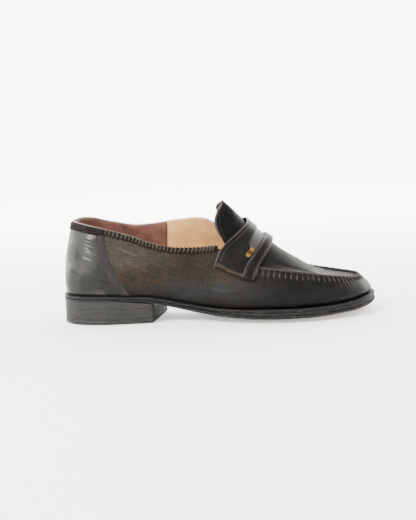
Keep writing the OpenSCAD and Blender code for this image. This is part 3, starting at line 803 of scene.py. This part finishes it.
BRADS = [(-140, 0), (-133, -18), (-133, 18), (-112, -27), (-112, 25), (-88, -27), (-88, 23), (-72, -14),
         (-70, 4), (-68, 18)]
obj("top_lift_brads", merge([brad(x, y) for x, y in BRADS]), M_BRAD, ["heel_brads"])


# ---- footbed
def bed(name, j0, j1, d, lo, hi, wear, mat, node):
    """Layer under the foot between two stations, inset by d, pressed down at the ball and heel by wear."""
    j, w = plane((j0, j1, 150), (0, 1, 25))
    a, b = edge_in(j, d), edge_in(STATIONS - j, d)
    q = a + (b - a) * w[..., None]
    x, e = q[..., 0], np.abs(2 * w - 1)
    z1 = prof(3, x) + hi - 0.5 * np.maximum(0, e - 0.85) / 0.15 * 0.8 + 0.35 * smooth(e, 0.55, 1.0)
    top = np.concatenate([q, z1[..., None]], -1)
    top[..., 2] += wear * (noise3(top, 26.0) * 0.35 + noise3(top, 9.0) * 0.12)
    top[..., 2] -= 0.5 * wear * bell(x, 75, 26) * bell(e, 0, 0.7)
    top[..., 2] -= 0.6 * wear * bell(x, -108, 22) * bell(e, 0, 0.6)
    under = np.concatenate([q, (prof(3, x) + lo)[..., None]], -1)
    obj(name, shell(top, under), mat, [node])


bed("sock_lining_skin", 0.45, 16.55, 7.4, 2.6, 3.5, 1.0, M_SOCK, "sock_lining")
bed("heel_pad_skin", 0.9, 5.6, 10.8, 3.7, 4.6, 0.6, M_PAD, "heel_pad")
flat_stitches("heel_pad_stitches", np.linspace(-5.4, 5.4, 160), 12.4, 4.55, M_THREAD2,
              pitch=3.2, fill=0.7, r=0.3, sink=0.1)


# ---- upper: wall, counter, linings
def seam(s):
    """Station of the counter seam at height share s."""
    return 4.06 - 2.1 * s + 0.8 * s * s


def edge_u(e, s):
    """Stations of a piece's edge: one station, or (side, distance from the counter seam)."""
    if np.isscalar(e):
        return s * 0 + e
    side, off = e
    return side * (seam(s) + off) + (STATIONS if side < 0 else 0)


def wgrid(a, b, S, n):
    """u, s grids between two edges, with n even columns or columns at the shares n."""
    t = (np.linspace(0, 1, n) if np.isscalar(n) else n)[:, None]
    a, b = edge_u(a, S), edge_u(b, S)
    return a[None] + (b - a)[None] * t, np.broadcast_to(S[None], (len(t), len(S)))


def lifted(base, normal, d):
    return base + normal * d[..., None]


SEAM0, PITCH, GATHERS = 10.2, 0.268, 25


def pucker(u):
    """Whole numbers at the middle of each gather of the apron seam, and how strong it is there."""
    v = np.where(u > STATIONS / 2, STATIONS - u, u)
    return (v - SEAM0) / PITCH, smooth(v, 9.2, 10.1)


def uneven(k):
    """A random value for each gather."""
    return noise3(np.stack([np.floor(k + 0.5) * 9.1, k * 0, k * 0], -1), 4.0)


# creases, as (x, z) points in side view
FINE = [
    [(-106, 70), (-85, 59.5), (-54, 44)], [(-104, 67), (-84, 57), (-60, 45)], [(-98, 75), (-80, 66), (-66, 60)],
    [(-130, 77), (-121, 76), (-112, 71)], [(-129, 74), (-120, 72.5), (-110, 69)],
    [(-128, 70.5), (-119, 70), (-110, 65)], [(-127, 81), (-116, 78)], [(-131, 67), (-122, 64), (-113, 60)],
    [(-76, 70), (-62, 62)], [(-60, 58), (-40, 48)]]
QUARTER = [
    [(-106, 70), (-85, 59), (-54, 44)], [(-98, 75), (-71, 62)], [(-80, 69), (-53, 53), (-30, 41)],
    [(-48, 58), (-20, 44)], [(-70, 72), (-46, 61)], [(-30, 60), (-6, 48)], [(-116, 46), (-98, 40), (-80, 31)],
    [(-20, 36), (2, 31), (24, 32)], [(-42, 32), (-14, 27), (8, 25)], [(26, 28), (44, 31), (60, 28)],
    [(34, 22), (52, 22), (70, 25)], [(-129, 74), (-121, 73), (-112, 67)], [(-127, 79), (-115, 74.5)],
    [(-138, 52), (-124, 47), (-112, 41)], [(-141, 62), (-130, 60)]]


def vamp_wall():
    S = np.concatenate([np.linspace(0, 0.78, 43)[:-1], np.linspace(0.78, 0.985, 17)])
    side = np.linspace(0, 0.22, 175)
    t = np.concatenate([side, np.linspace(0.22, 0.78, 480)[1:-1], np.linspace(0.78, 1, 175)])
    U, SS = wgrid((1, 0.03), (-1, 0.03), S, t)
    base = wall0(U, SS)
    d = grooves(base, QUARTER, 1.5, 0.42) + grooves(base, FINE, 0.75, 0.4)
    d += 0.35 * noise3(base, 16.0) + 0.14 * noise3(base, 6.0)
    k, amp = pucker(U)
    jit = uneven(k)
    top = smooth(SS, 0.77 + 0.05 * jit, 0.87)
    d += amp * top * (1.9 * np.abs(np.cos(np.pi * k)) ** 0.55 - 1.3 + 0.35 * jit)
    fold = (0.16 + 0.12 * jit) * np.cos(2 * np.pi * k)
    d += amp * smooth(SS, 0.42 + 0.1 * jit, 0.85) * (1 - top) * fold
    d = np.maximum(d, -1.3) * smooth(SS, 0.0, 0.06)
    sheet = shell(lifted(base, wall_n(U, SS), d), wall(U, SS, -LEATHER))
    obj("vamp_wall_leather", sheet, M_UPPER, ["vamp_wall"])


def counter():
    S = np.linspace(0, 0.985, 80)
    U, SS = grids((seam(S) - 0.03) * np.linspace(-1, 1, 260)[:, None], S)
    base = wall0(U, SS)
    d = grooves(base, QUARTER, 1.5, 0.4) + grooves(base, FINE, 0.8, 0.4)
    d += 0.75 * noise3(base, 21.0) + 0.2 * noise3(base, 10.0) + 0.1 * noise3(base, 6.0)
    d = np.maximum(d, -0.95) * smooth(SS, 0.0, 0.06)
    sheet = shell(lifted(base, wall_n(U, SS), d), wall(U, SS, -LEATHER))
    obj("counter_leather", sheet, M_COUNTER, ["counter"])


def counter_strip(side, node, n=19):
    """Strip over the counter seam: raised in the middle, with a row of stitches in each of its two grooves."""
    S = np.linspace(0.012, 0.95, 70)
    U, SS = wgrid((side, -0.2 * side), (side, 0.2 * side), S, n)
    t = np.linspace(-1, 1, n)[:, None]
    base = wall0(U, SS)
    d = 0.3 + 0.5 * (1 - t ** 8) + 0.3 * bell(t, 0, 0.34) - 0.4 * bell(np.abs(t), 0.66, 0.16)
    sheet = shell(lifted(base, wall_n(U, SS), d + 0.06 * noise3(base, 5.0)), wall(U, SS, 0.02))
    obj(node + "_leather", sheet, M_BIND, [node])
    parts = []
    for q in (0.17, 0.83):
        u = U[0] + (U[-1] - U[0]) * q
        parts += stitches(wall(u, S, 0.68), wall_n(u, S), 2.3, 0.72, 0.46, 0.12)
    obj(node + "_stitches", merge(parts), M_THREAD, ())


vamp_wall()
counter()
counter_strip(1, "counter_strip_outer")
counter_strip(-1, "counter_strip_inner")


def lined(u, s, d):
    """Inner face of a lining at the depth d, slightly uneven."""
    P = wall(u, s, d)
    return lifted(P, wall_n(u, s), -0.14 * noise3(P, 12.0))


def vamp_lining():
    U, SS = wgrid(8.43, 25.57, np.linspace(0.03, 0.9, 26), 260)
    outer = lifted(wall(U, SS, -1.9), wall_n(U, SS), 0.12 * noise3(wall(U, SS, -2.8), 14.0))
    sheet = shell(outer, lined(U, SS, -2.8))
    obj("vamp_lining_skin", sheet, M_TAN, ["vamp_lining"])


def edged_lining(node, u0, u1, d0, d1, mat, n):
    """Lining whose upper edge is turned outwards over the wall, up to the thin lip of the binding."""
    U, SS = wgrid(u0, u1, np.linspace(0.02, 0.985, 26), n)
    rim, out = ring(RIM, U[:, 0]), out3(U[:, 0])

    def roll(profile):
        return np.stack([rim + out * a + np.array([0, 0, z]) for a, z in profile], 1)

    over_edge = roll([(d0 - 0.1, 0.25), (d0 + 0.15, 0.9), (d0 + 0.75, 1.3), (d0 + 1.5, 1.42), (-1.55, 1.38),
                      (-1.2, 1.2)])
    under_edge = roll([(d1, 0.2), (d1 + 0.1, 0.5), (d1 + 0.3, 0.8), (max(d1 + 0.7, -1.9), 0.95), (-1.6, 0.9),
                       (-1.35, 0.8)])
    sheet = shell(np.concatenate([wall(U, SS, d1), under_edge], 1),
                  np.concatenate([lined(U, SS, d0), over_edge], 1))
    obj(node + "_skin", sheet, mat, [node])


edged_lining("heel_lining", -5.42, 5.42, -4.1, -3.2, M_HEEL, 240)
edged_lining("quarter_lining_outer", 5.43, 8.43, -2.8, -1.9, M_TAN, 80)
edged_lining("quarter_lining_inner", 25.57, 28.57, -2.8, -1.9, M_TAN, 80)
vamp_lining()


# ---- topline
def lean(u, z):
    """Sideways move that keeps a point z below the rim on the wall's slope."""
    return (wall0(u, np.where(z < -1, 1 + z / 62, 1.0)) - wall0(u, np.ones(len(u)))) * np.array([1, 1, 0])


def topline_binding(n=420):
    u = np.linspace(-7.86, 7.86, n)
    rim, out = ring(RIM, u), out3(u)
    depth = 4.2 + smooth(-np.abs(u), -3.1, -2.7)
    section = [(1.0, -1.0), (1.4, -0.8), (1.6, -0.45), (1.55, 0.2), (1.3, 0.8), (0.75, 1.3), (0.0, 1.55),
               (-0.8, 1.5), (-1.3, 1.1), (-1.35, 0.5), (-0.9, 0.35), (0.2, 0.35), (0.3, -1.0)]
    rows = []
    for a, b in section:
        z = np.full(n, b) if b > -0.75 else -depth * (1 if b <= -1.0 else 0.93)
        rows.append(rim + out * a + lean(u, z) + np.stack([z * 0, z * 0, z], 1))
    P = np.stack(rows, 1)
    P[:, :8] += out[:, None] * (0.1 * noise3(P[:, :8], 7.0))[..., None]
    obj("topline_binding_leather", (P, skin(n, len(section))), M_TOP, ["topline_binding"])


def whip_stitch(side, k, n=12):
    """Stitch k over the topline's edge, from the wall up and over to the inside."""
    q = np.linspace(0, 1, n)
    u = side * (3.12 + k * 0.157 + (q - 0.5) * 0.085)
    z = np.interp(q, [0, 0.4, 0.7, 1], [-2.6, 0.3, 1.75, 1.6])
    a = np.interp(q, [0, 0.35, 0.62, 1], [1.35, 2.05, 1.2, -1.3])
    path = ring(RIM, u) + out3(u) * a[:, None] + np.stack([z * 0, z * 0, z], 1) + lean(u, z)
    return tube(path, 0.74, 8, taper=0.45)


topline_binding()
obj("topline_whip_stitches", merge([whip_stitch(side, k) for k in range(30) for side in (1, -1)]), M_WHIP,
    ["topline_stitches"])


# ---- apron and its gathered seam
# bends across the vamp: outer end, middle and inner end, as x, y
FLEX = [(70, -30, 74, 0, 68, 32), (80, -26, 84, 4, 79, 34), (90, -20, 93, 6, 90, 26), (60, -20, 62, 6, 58, 24),
        (101, -12, 103, 8, 101, 24)]


def flex_bends(base):
    d = 0
    for x0, y0, x1, _, x2, y2 in FLEX:
        y = base[..., 1]
        t = np.clip((y - y0) / (y2 - y0), 0, 1)
        cx = (1 - t) ** 2 * x0 + 2 * t * (1 - t) * (2 * x1 - 0.5 * (x0 + x2)) + t * t * x2
        on = smooth(y, y0 - 4, y0 + 6) * smooth(-y, -y2 - 4, -y2 + 6)
        q = (base[..., 0] - cx) / 1.7
        d = d + on * (0.06 * bell(np.abs(q), 2.0, 1.1) - 0.16 * bell(q, 0, 1))
    return d


def apron():
    J, W = plane((8.3, 16.86, 430), (0, 1, 100))
    W = 0.035 * smooth(-J, -9.9, -9.3) * (1 - 2 * W) + W
    E = np.abs(2 * W - 1)
    f = smooth(J, 9.4, 10.8)
    base = arch0(J, W)
    k, amp = pucker(J)
    d = f * (-1.0 - 0.55 * bell(E, 0.84, 0.07) + 0.9 * smooth(E, 0.86, 0.99))
    d += amp * smooth(E, 0.84, 0.99) * (0.45 * (0.5 + 0.5 * np.cos(2 * np.pi * k)) - 0.3)
    d += flex_bends(base) + 0.22 * noise3(base, 22.0) + 0.06 * noise3(base, 7.0)
    sheet = shell(lifted(base, arch_n(J, W), d), arch(J, W, -1.75 - 1.2 * f))
    obj("apron_leather", sheet, M_VAMP, ["apron"])


def apron_lining():
    J, W = plane((8.6, 15.5, 120), (0.12, 0.88, 30))
    sheet = shell(arch(J, W, -3.4), arch(J, W, -4.3 + 0.15 * noise3(arch0(J, W), 12.0)))
    obj("apron_lining_skin", sheet, M_TAN, ["apron_lining"])


def seam_roll(n=12):
    """The edge of the wall turned up and gathered against the apron."""
    u = np.linspace(9.3, 24.7, 1500)
    out = out3(u)
    k, amp = pucker(u)
    c = np.abs(np.cos(np.pi * k)) ** 0.6
    R = 1.3 * (1 - 0.42 * (1 - c) * amp + 0.1 * uneven(k) * amp)
    R = R * (0.35 + 0.65 * smooth(u, 9.3, 9.6) * smooth(STATIONS - u, 9.3, 9.6))
    a = np.linspace(0, 2 * np.pi, n, endpoint=False)[None, :, None]
    middle = ring(RIM, u) + out * 0.15 + np.array([0, 0, -0.35])
    section = out[:, None] * np.cos(a) * 1.05 + np.array([0, 0, 1.0]) * np.sin(a)
    V = middle[:, None] + R[:, None, None] * section
    obj("apron_seam_roll", (V, skin(len(u), n, down=True)), M_VAMP, ())


def seam_stitch(k, mirror, n=12):
    """Stitch between two gathers, from the wall over the roll into the apron."""
    u = SEAM0 + (k + 0.5) * PITCH
    u = np.full(n, STATIONS - u if mirror else u)
    q = np.linspace(0, 1, n)
    a = np.interp(q, [0, 0.3, 0.6, 1], [1.2, 1.1, 0.1, -1.7])
    z = np.interp(q, [0, 0.3, 0.6, 1], [-1.4, -0.1, 0.75, -0.3])
    path = ring(RIM, u) + out3(u) * a[:, None] + np.stack([z * 0, z * 0, z], 1)
    path[0] = wall(u[0], 0.9, -0.6)
    return tube(path, 0.34, 7)


apron()
apron_lining()
seam_roll()
obj("apron_seam_stitches", merge([seam_stitch(k, mirror) for k in range(GATHERS) for mirror in (False, True)]),
    M_THREAD, ["seam_thread"])


# ---- tongue
TIP = 6.5


def tip_curve(j0, w):
    """Station of the tongue's free edge, whose middle is at j0."""
    return j0 + 1.4 * np.abs(2 * w - 1) ** 3.2


def tongue_grid(j0, nj, nw):
    q, w = plane((0, 1, nj), (0, 1, nw))
    edge = tip_curve(j0, w)
    j = edge + (9.4 - edge) * q
    side = 0.045 + 0.055 * smooth(j, 7.9, 8.3)
    return j, side + (1 - 2 * side) * w


def on_tongue(name, mesh, mat, nodes):
    o = obj(name, mesh, mat, nodes, ride=False)
    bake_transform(o)


def tongue():
    J, W = tongue_grid(TIP, 110, 90)
    base = arch0(J, W)
    up = -0.35 * smooth(J, 7.9, 8.3)
    d = -1.5 + up + 0.25 * noise3(base, 15.0) + 0.08 * noise3(base, 6.0)
    d -= 0.3 * bell(J, 7.15, 0.05) + 0.2 * bell(J, 7.5, 0.05)
    on_tongue("tongue_leather", shell(lifted(base, arch_n(J, W), d), arch(J, W, -2.75 + up)), M_TONGUE,
              ["tongue", "tongue_root"])
    J, W = tongue_grid(TIP + 0.06, 80, 60)
    up = -0.5 * smooth(J, 7.9, 8.3)
    inner = arch(J, W, -3.75 + up + 0.12 * noise3(arch0(J, W), 10.0))
    on_tongue("tongue_lining_skin", shell(arch(J, W, -2.8 + up), inner), M_TLIN, ["tongue_lining"])


def tongue_edge():
    w = np.linspace(0, 1, 220)
    j = tip_curve(TIP, w)
    P = arch(j + 0.03, 0.045 + 0.91 * w, -2.15)
    roll = tube(P, 1.3 + 0.1 * noise3(P, 5.0), 12, taper=0.5)
    on_tongue("tongue_binding", roll, M_PIPE_HIGHLIGHT, ())
    P = arch(j + 0.17, 0.05 + 0.9 * w, -1.4)
    N = arch_n(j + 0.03, 0.045 + 0.91 * w)
    row = merge(stitches(P[6:-6], N[6:-6], 2.3, 0.72, 0.25, 0.05))
    on_tongue("tongue_stitches", row, M_THREAD, ())


tongue()
tongue_edge()


# ---- saddle
SLOT_HALF = 0.13


def slot_edge(v, back=0.0):
    """Station of the slot's rear edge across the saddle, moved backwards by a share of the strap's length."""
    t = np.minimum(1, np.abs(v - 1) / SLOT_HALF)
    return 8 + 2 * (0.36 + 0.04 * t + 0.28 * t ** 6 - back)


def strap():
    """Wide strap with a curved slot: 26 rows behind the slot, 8 in front of it, and a gap between them."""
    v = np.concatenate([np.linspace(0.54, 1.46, 190), np.linspace(0.866, 0.9, 9), np.linspace(1.1, 1.134, 9),
                        [1 - SLOT_HALF, 1 + SLOT_HALF]])
    v = np.unique(np.round(v, 4))
    rear = np.linspace(0, 1, 26)[:, None] * (slot_edge(v) - 8) / 2
    front = np.broadcast_to(0.7 + 0.28 * np.linspace(0, 1, 8)[:, None], (8, len(v)))
    G = np.concatenate([rear, front])
    J, V = grids(8 + 2 * G, v)
    base = rib0(J, V)
    mid = (v[:-1] + v[1:]) / 2
    solid = np.ones((G.shape[0] - 1, G.shape[1] - 1), bool)
    solid[25] = np.abs(mid - 1) >= SLOT_HALF
    end = np.minimum(V - 0.54, 1.46 - V)
    d = 2.5 + 0.25 * noise3(base, 14.0) + 0.08 * noise3(base, 5.0)
    d += 0.5 * smooth(G, 0.0, 0.05) - 0.5 + 0.22 * bell(G, 0.045, 0.03) - 0.3 * bell(G, 0.115, 0.022)
    d -= 0.45 * smooth(-end, -0.02, 0.0) + 0.25 * bell(end, 0.045, 0.012)
    d += smooth(-end, -0.075, -0.02) * 0.35 * np.cos(2 * np.pi * G * 9)
    normal = rib_n(J, V)
    sheet = shell(lifted(base, normal, d), base + normal * STRAP_BASE, mask=solid)
    obj("saddle_strap_leather", sheet, M_STRAP, ["saddle_strap"])


def front_band():
    J, V = plane((9.48, 10.0, 22), (0.55, 1.45, 200))
    t = (J - 9.74) / 0.26
    base, normal = rib0(J, V), rib_n(J, V)
    d = 3.35 + 0.75 * (1 - t ** 8) - 0.3 * bell(np.abs(t), 0.6, 0.12) + 0.1 * noise3(base, 6.0)
    sheet = shell(lifted(base, normal, d), base + normal * 2.6)
    obj("saddle_front_band_leather", sheet, M_STRAP, ["saddle_front_band"])


def backing():
    J, V = plane((8.6, 9.6, 30), (0.85, 1.15, 50))
    sheet = shell(rib(J, V, 0.78 + 0.06 * noise3(rib0(J, V), 4.0)), rib(J, V, 0.45))
    obj("saddle_backing_leather", sheet, M_BACK, ["saddle_backing"])


def strap_stitches():
    parts = []
    for j, v0, v1, d in ((8.23, 0.575, 1.425, 2.42), (9.56, 0.57, 1.43, 3.95), (9.92, 0.57, 1.43, 3.95)):
        v = np.linspace(v0, v1, 260)
        parts += stitches(rib(j, v, d), rib_n(j, v), 2.4, 0.72, 0.2, 0.03)
    v = np.linspace(0.885, 1.115, 90)
    j = slot_edge(v, 0.06)
    parts += stitches(rib(j, v, 2.5), rib_n(j, v), 2.4, 0.72, 0.2, 0.03)
    obj("saddle_stitching", merge(parts), M_THREAD2, ["saddle_stitches"])


def end_stitches():
    """Zigzag that sews the strap's two lower ends to the wall."""
    q = np.linspace(0, 1, 7)
    low = 0.566 + 0.05 * q
    lift_off = 2.3 + 0.6 * np.sin(np.pi * q)
    parts = []
    for v in (low, 2 - low):
        for k in range(11):
            j = 8.1 + k * 0.128
            parts.append(tube(rib(j + 0.06 * q, v, lift_off), 0.36, 6, taper=0.4))
            parts.append(tube(rib(j + 0.124 - 0.06 * q, v, lift_off), 0.36, 6, taper=0.4))
    obj("saddle_end_stitching", merge(parts), M_LOW, ())


def piping():
    def bead(v0, v1, n, j, d, r, taper=0.0):
        v = np.linspace(v0, v1, n)
        return tube(rib(j(v) if callable(j) else j, v, d), r, 9, taper)

    parts = [bead(0.545, 1.455, 200, 8.02, 2.15, 0.5),
             bead(0.874, 1.126, 120, lambda v: slot_edge(v, 0.012), 2.2, 0.6, 0.4)]
    parts += [bead(0.553, 1.447, 200, j, 3.35, 0.55) for j in (9.485, 9.995)]
    obj("saddle_edge_piping", merge(parts), M_PIPE_HIGHLIGHT, ())


def bar(j=9.24, v=0.858, half_length=5.25, half_width=2.0, n=48):
    """Plain metal bar with rounded ends, on the outer side of the strap."""
    up = rib_n(j, v)
    along = unit(rib0(j, v + 0.02) - rib0(j, v - 0.02))
    across = np.cross(up, along)
    foot = rib(j, v, 2.85)
    profile = [(0.0, 0.0), (0.0, 0.75), (0.12, 0.98), (0.36, 1.13), (0.62, 1.16), (0.8, 1.02), (1.25, 0.98),
               (1.7, 1.0)]
    points = []
    for inset_by, z in profile:
        for t in np.linspace(0, 2 * np.pi, n, endpoint=False):
            straight = math.copysign(half_length - half_width, math.cos(t)) if abs(math.cos(t)) > 1e-6 else 0
            x = straight + (half_width - inset_by) * math.cos(t)
            points.append(foot + along * x + across * (half_width - inset_by) * math.sin(t) + up * z)
    obj("saddle_bar", (points, skin(len(profile), n)), gold("plate_brass", foot + up), ["saddle_plate"])


strap()
front_band()
backing()
strap_stitches()
end_stitches()
piping()
bar()


# ---- camera, light, floor
def camera():
    """Low view of the outer side, turned and rolled a little, as in the photograph."""
    up_angle, side_angle, roll, distance = math.radians(8), math.radians(3), math.radians(2.4), 0.991
    target = Vector((-0.0098, 0, 0.0535))
    back = Vector((math.sin(side_angle) * math.cos(up_angle), -math.cos(side_angle) * math.cos(up_angle),
                   math.sin(up_angle)))
    level_x = (-back).cross(Vector((0, 0, 1))).normalized()
    level_y = level_x.cross(-back).normalized()
    x = level_x * math.cos(roll) - level_y * math.sin(roll)
    y = level_x * math.sin(roll) + level_y * math.cos(roll)
    data = bpy.data.cameras.new("camera")
    data.lens, data.sensor_width, data.clip_start, data.clip_end = 71.3, 36.0, 0.01, 50
    cam = place("camera", data)
    cam.matrix_world = Matrix.Translation(target + back * distance) @ Matrix((x, y, back)).transposed().to_4x4()
    bpy.context.scene.camera = cam


def area(name, loc, size, power, color=(1, 1, 1), aim=(0, 0, 0.04)):
    d = bpy.data.lights.new(name, "AREA")
    d.energy, d.size, d.color = power, size, color
    o = place(name, d)
    o.location = loc
    o.rotation_euler = (Vector(loc) - Vector(aim)).to_track_quat("Z", "Y").to_euler()


camera()
area("key", (-0.85, -0.8, 0.95), 0.5, 42, (1, 0.985, 0.96))
area("fill", (1.0, -0.9, 0.5), 0.7, 3.0, (0.96, 0.98, 1))
area("back", (0.1, 1.0, 1.2), 1.0, 9)
area("wash", (0.0, 0.75, 1.5), 1.6, 120, (1, 0.995, 0.98), aim=(0, 2.6, 0.5))
area("top", (0.0, 0.1, 1.5), 1.5, 17)
world = bpy.data.worlds.new("studio")
world.use_nodes = True
bg = world.node_tree.nodes["Background"]
bg.inputs[0].default_value = (1.0, 0.985, 0.96, 1)
bg.inputs[1].default_value = 0.68
bpy.context.scene.world = world


def floor_paper():
    """White paper that glows a little more behind the shoe, as a blown-out background does."""
    m = Nodes("floor_paper")
    m.bumps([(m.noise(900, 2), 0.05, 0.05)])
    cloud = m.span(m.noise(3.0, 3, 0.5), 0.3, 0.7)
    m.set(color=m.mix(cloud, (0.93, 0.92, 0.90), (0.95, 0.94, 0.92)), rough=0.75)
    m.b.inputs["Emission Color"].default_value = (1.0, 0.99, 0.97, 1)
    m.put(m.b.inputs["Emission Strength"], m.span(m.axis(1), 0.25, 1.1, 0.4, 2.8))
    return m.m


def floor(n=64):
    """Level floor that rises into a round wall, in metres."""
    profile = [(0.6, 0), (1.3, 0), (1.9, 0.01), (2.3, 0.08), (2.6, 0.25), (2.8, 0.55), (2.85, 1.0), (2.85, 3.0)]
    turns = [2 * math.pi * q / n for q in range(n)]
    points = [(0, 0, 0)] + [(r * math.cos(t), r * math.sin(t), z) for r, z in profile for t in turns]
    faces = [(0, 1 + q, 1 + (q + 1) % n) for q in range(n)]
    faces += [tuple(1 + k for k in f) for f in bands(len(profile), n)]
    me = bpy.data.meshes.new("floor")
    me.from_pydata(points, [], faces)
    me.polygons.foreach_set("use_smooth", [True] * len(faces))
    me.materials.append(floor_paper())
    o = place("floor", me)
    o.location.z = -0.0004


floor()
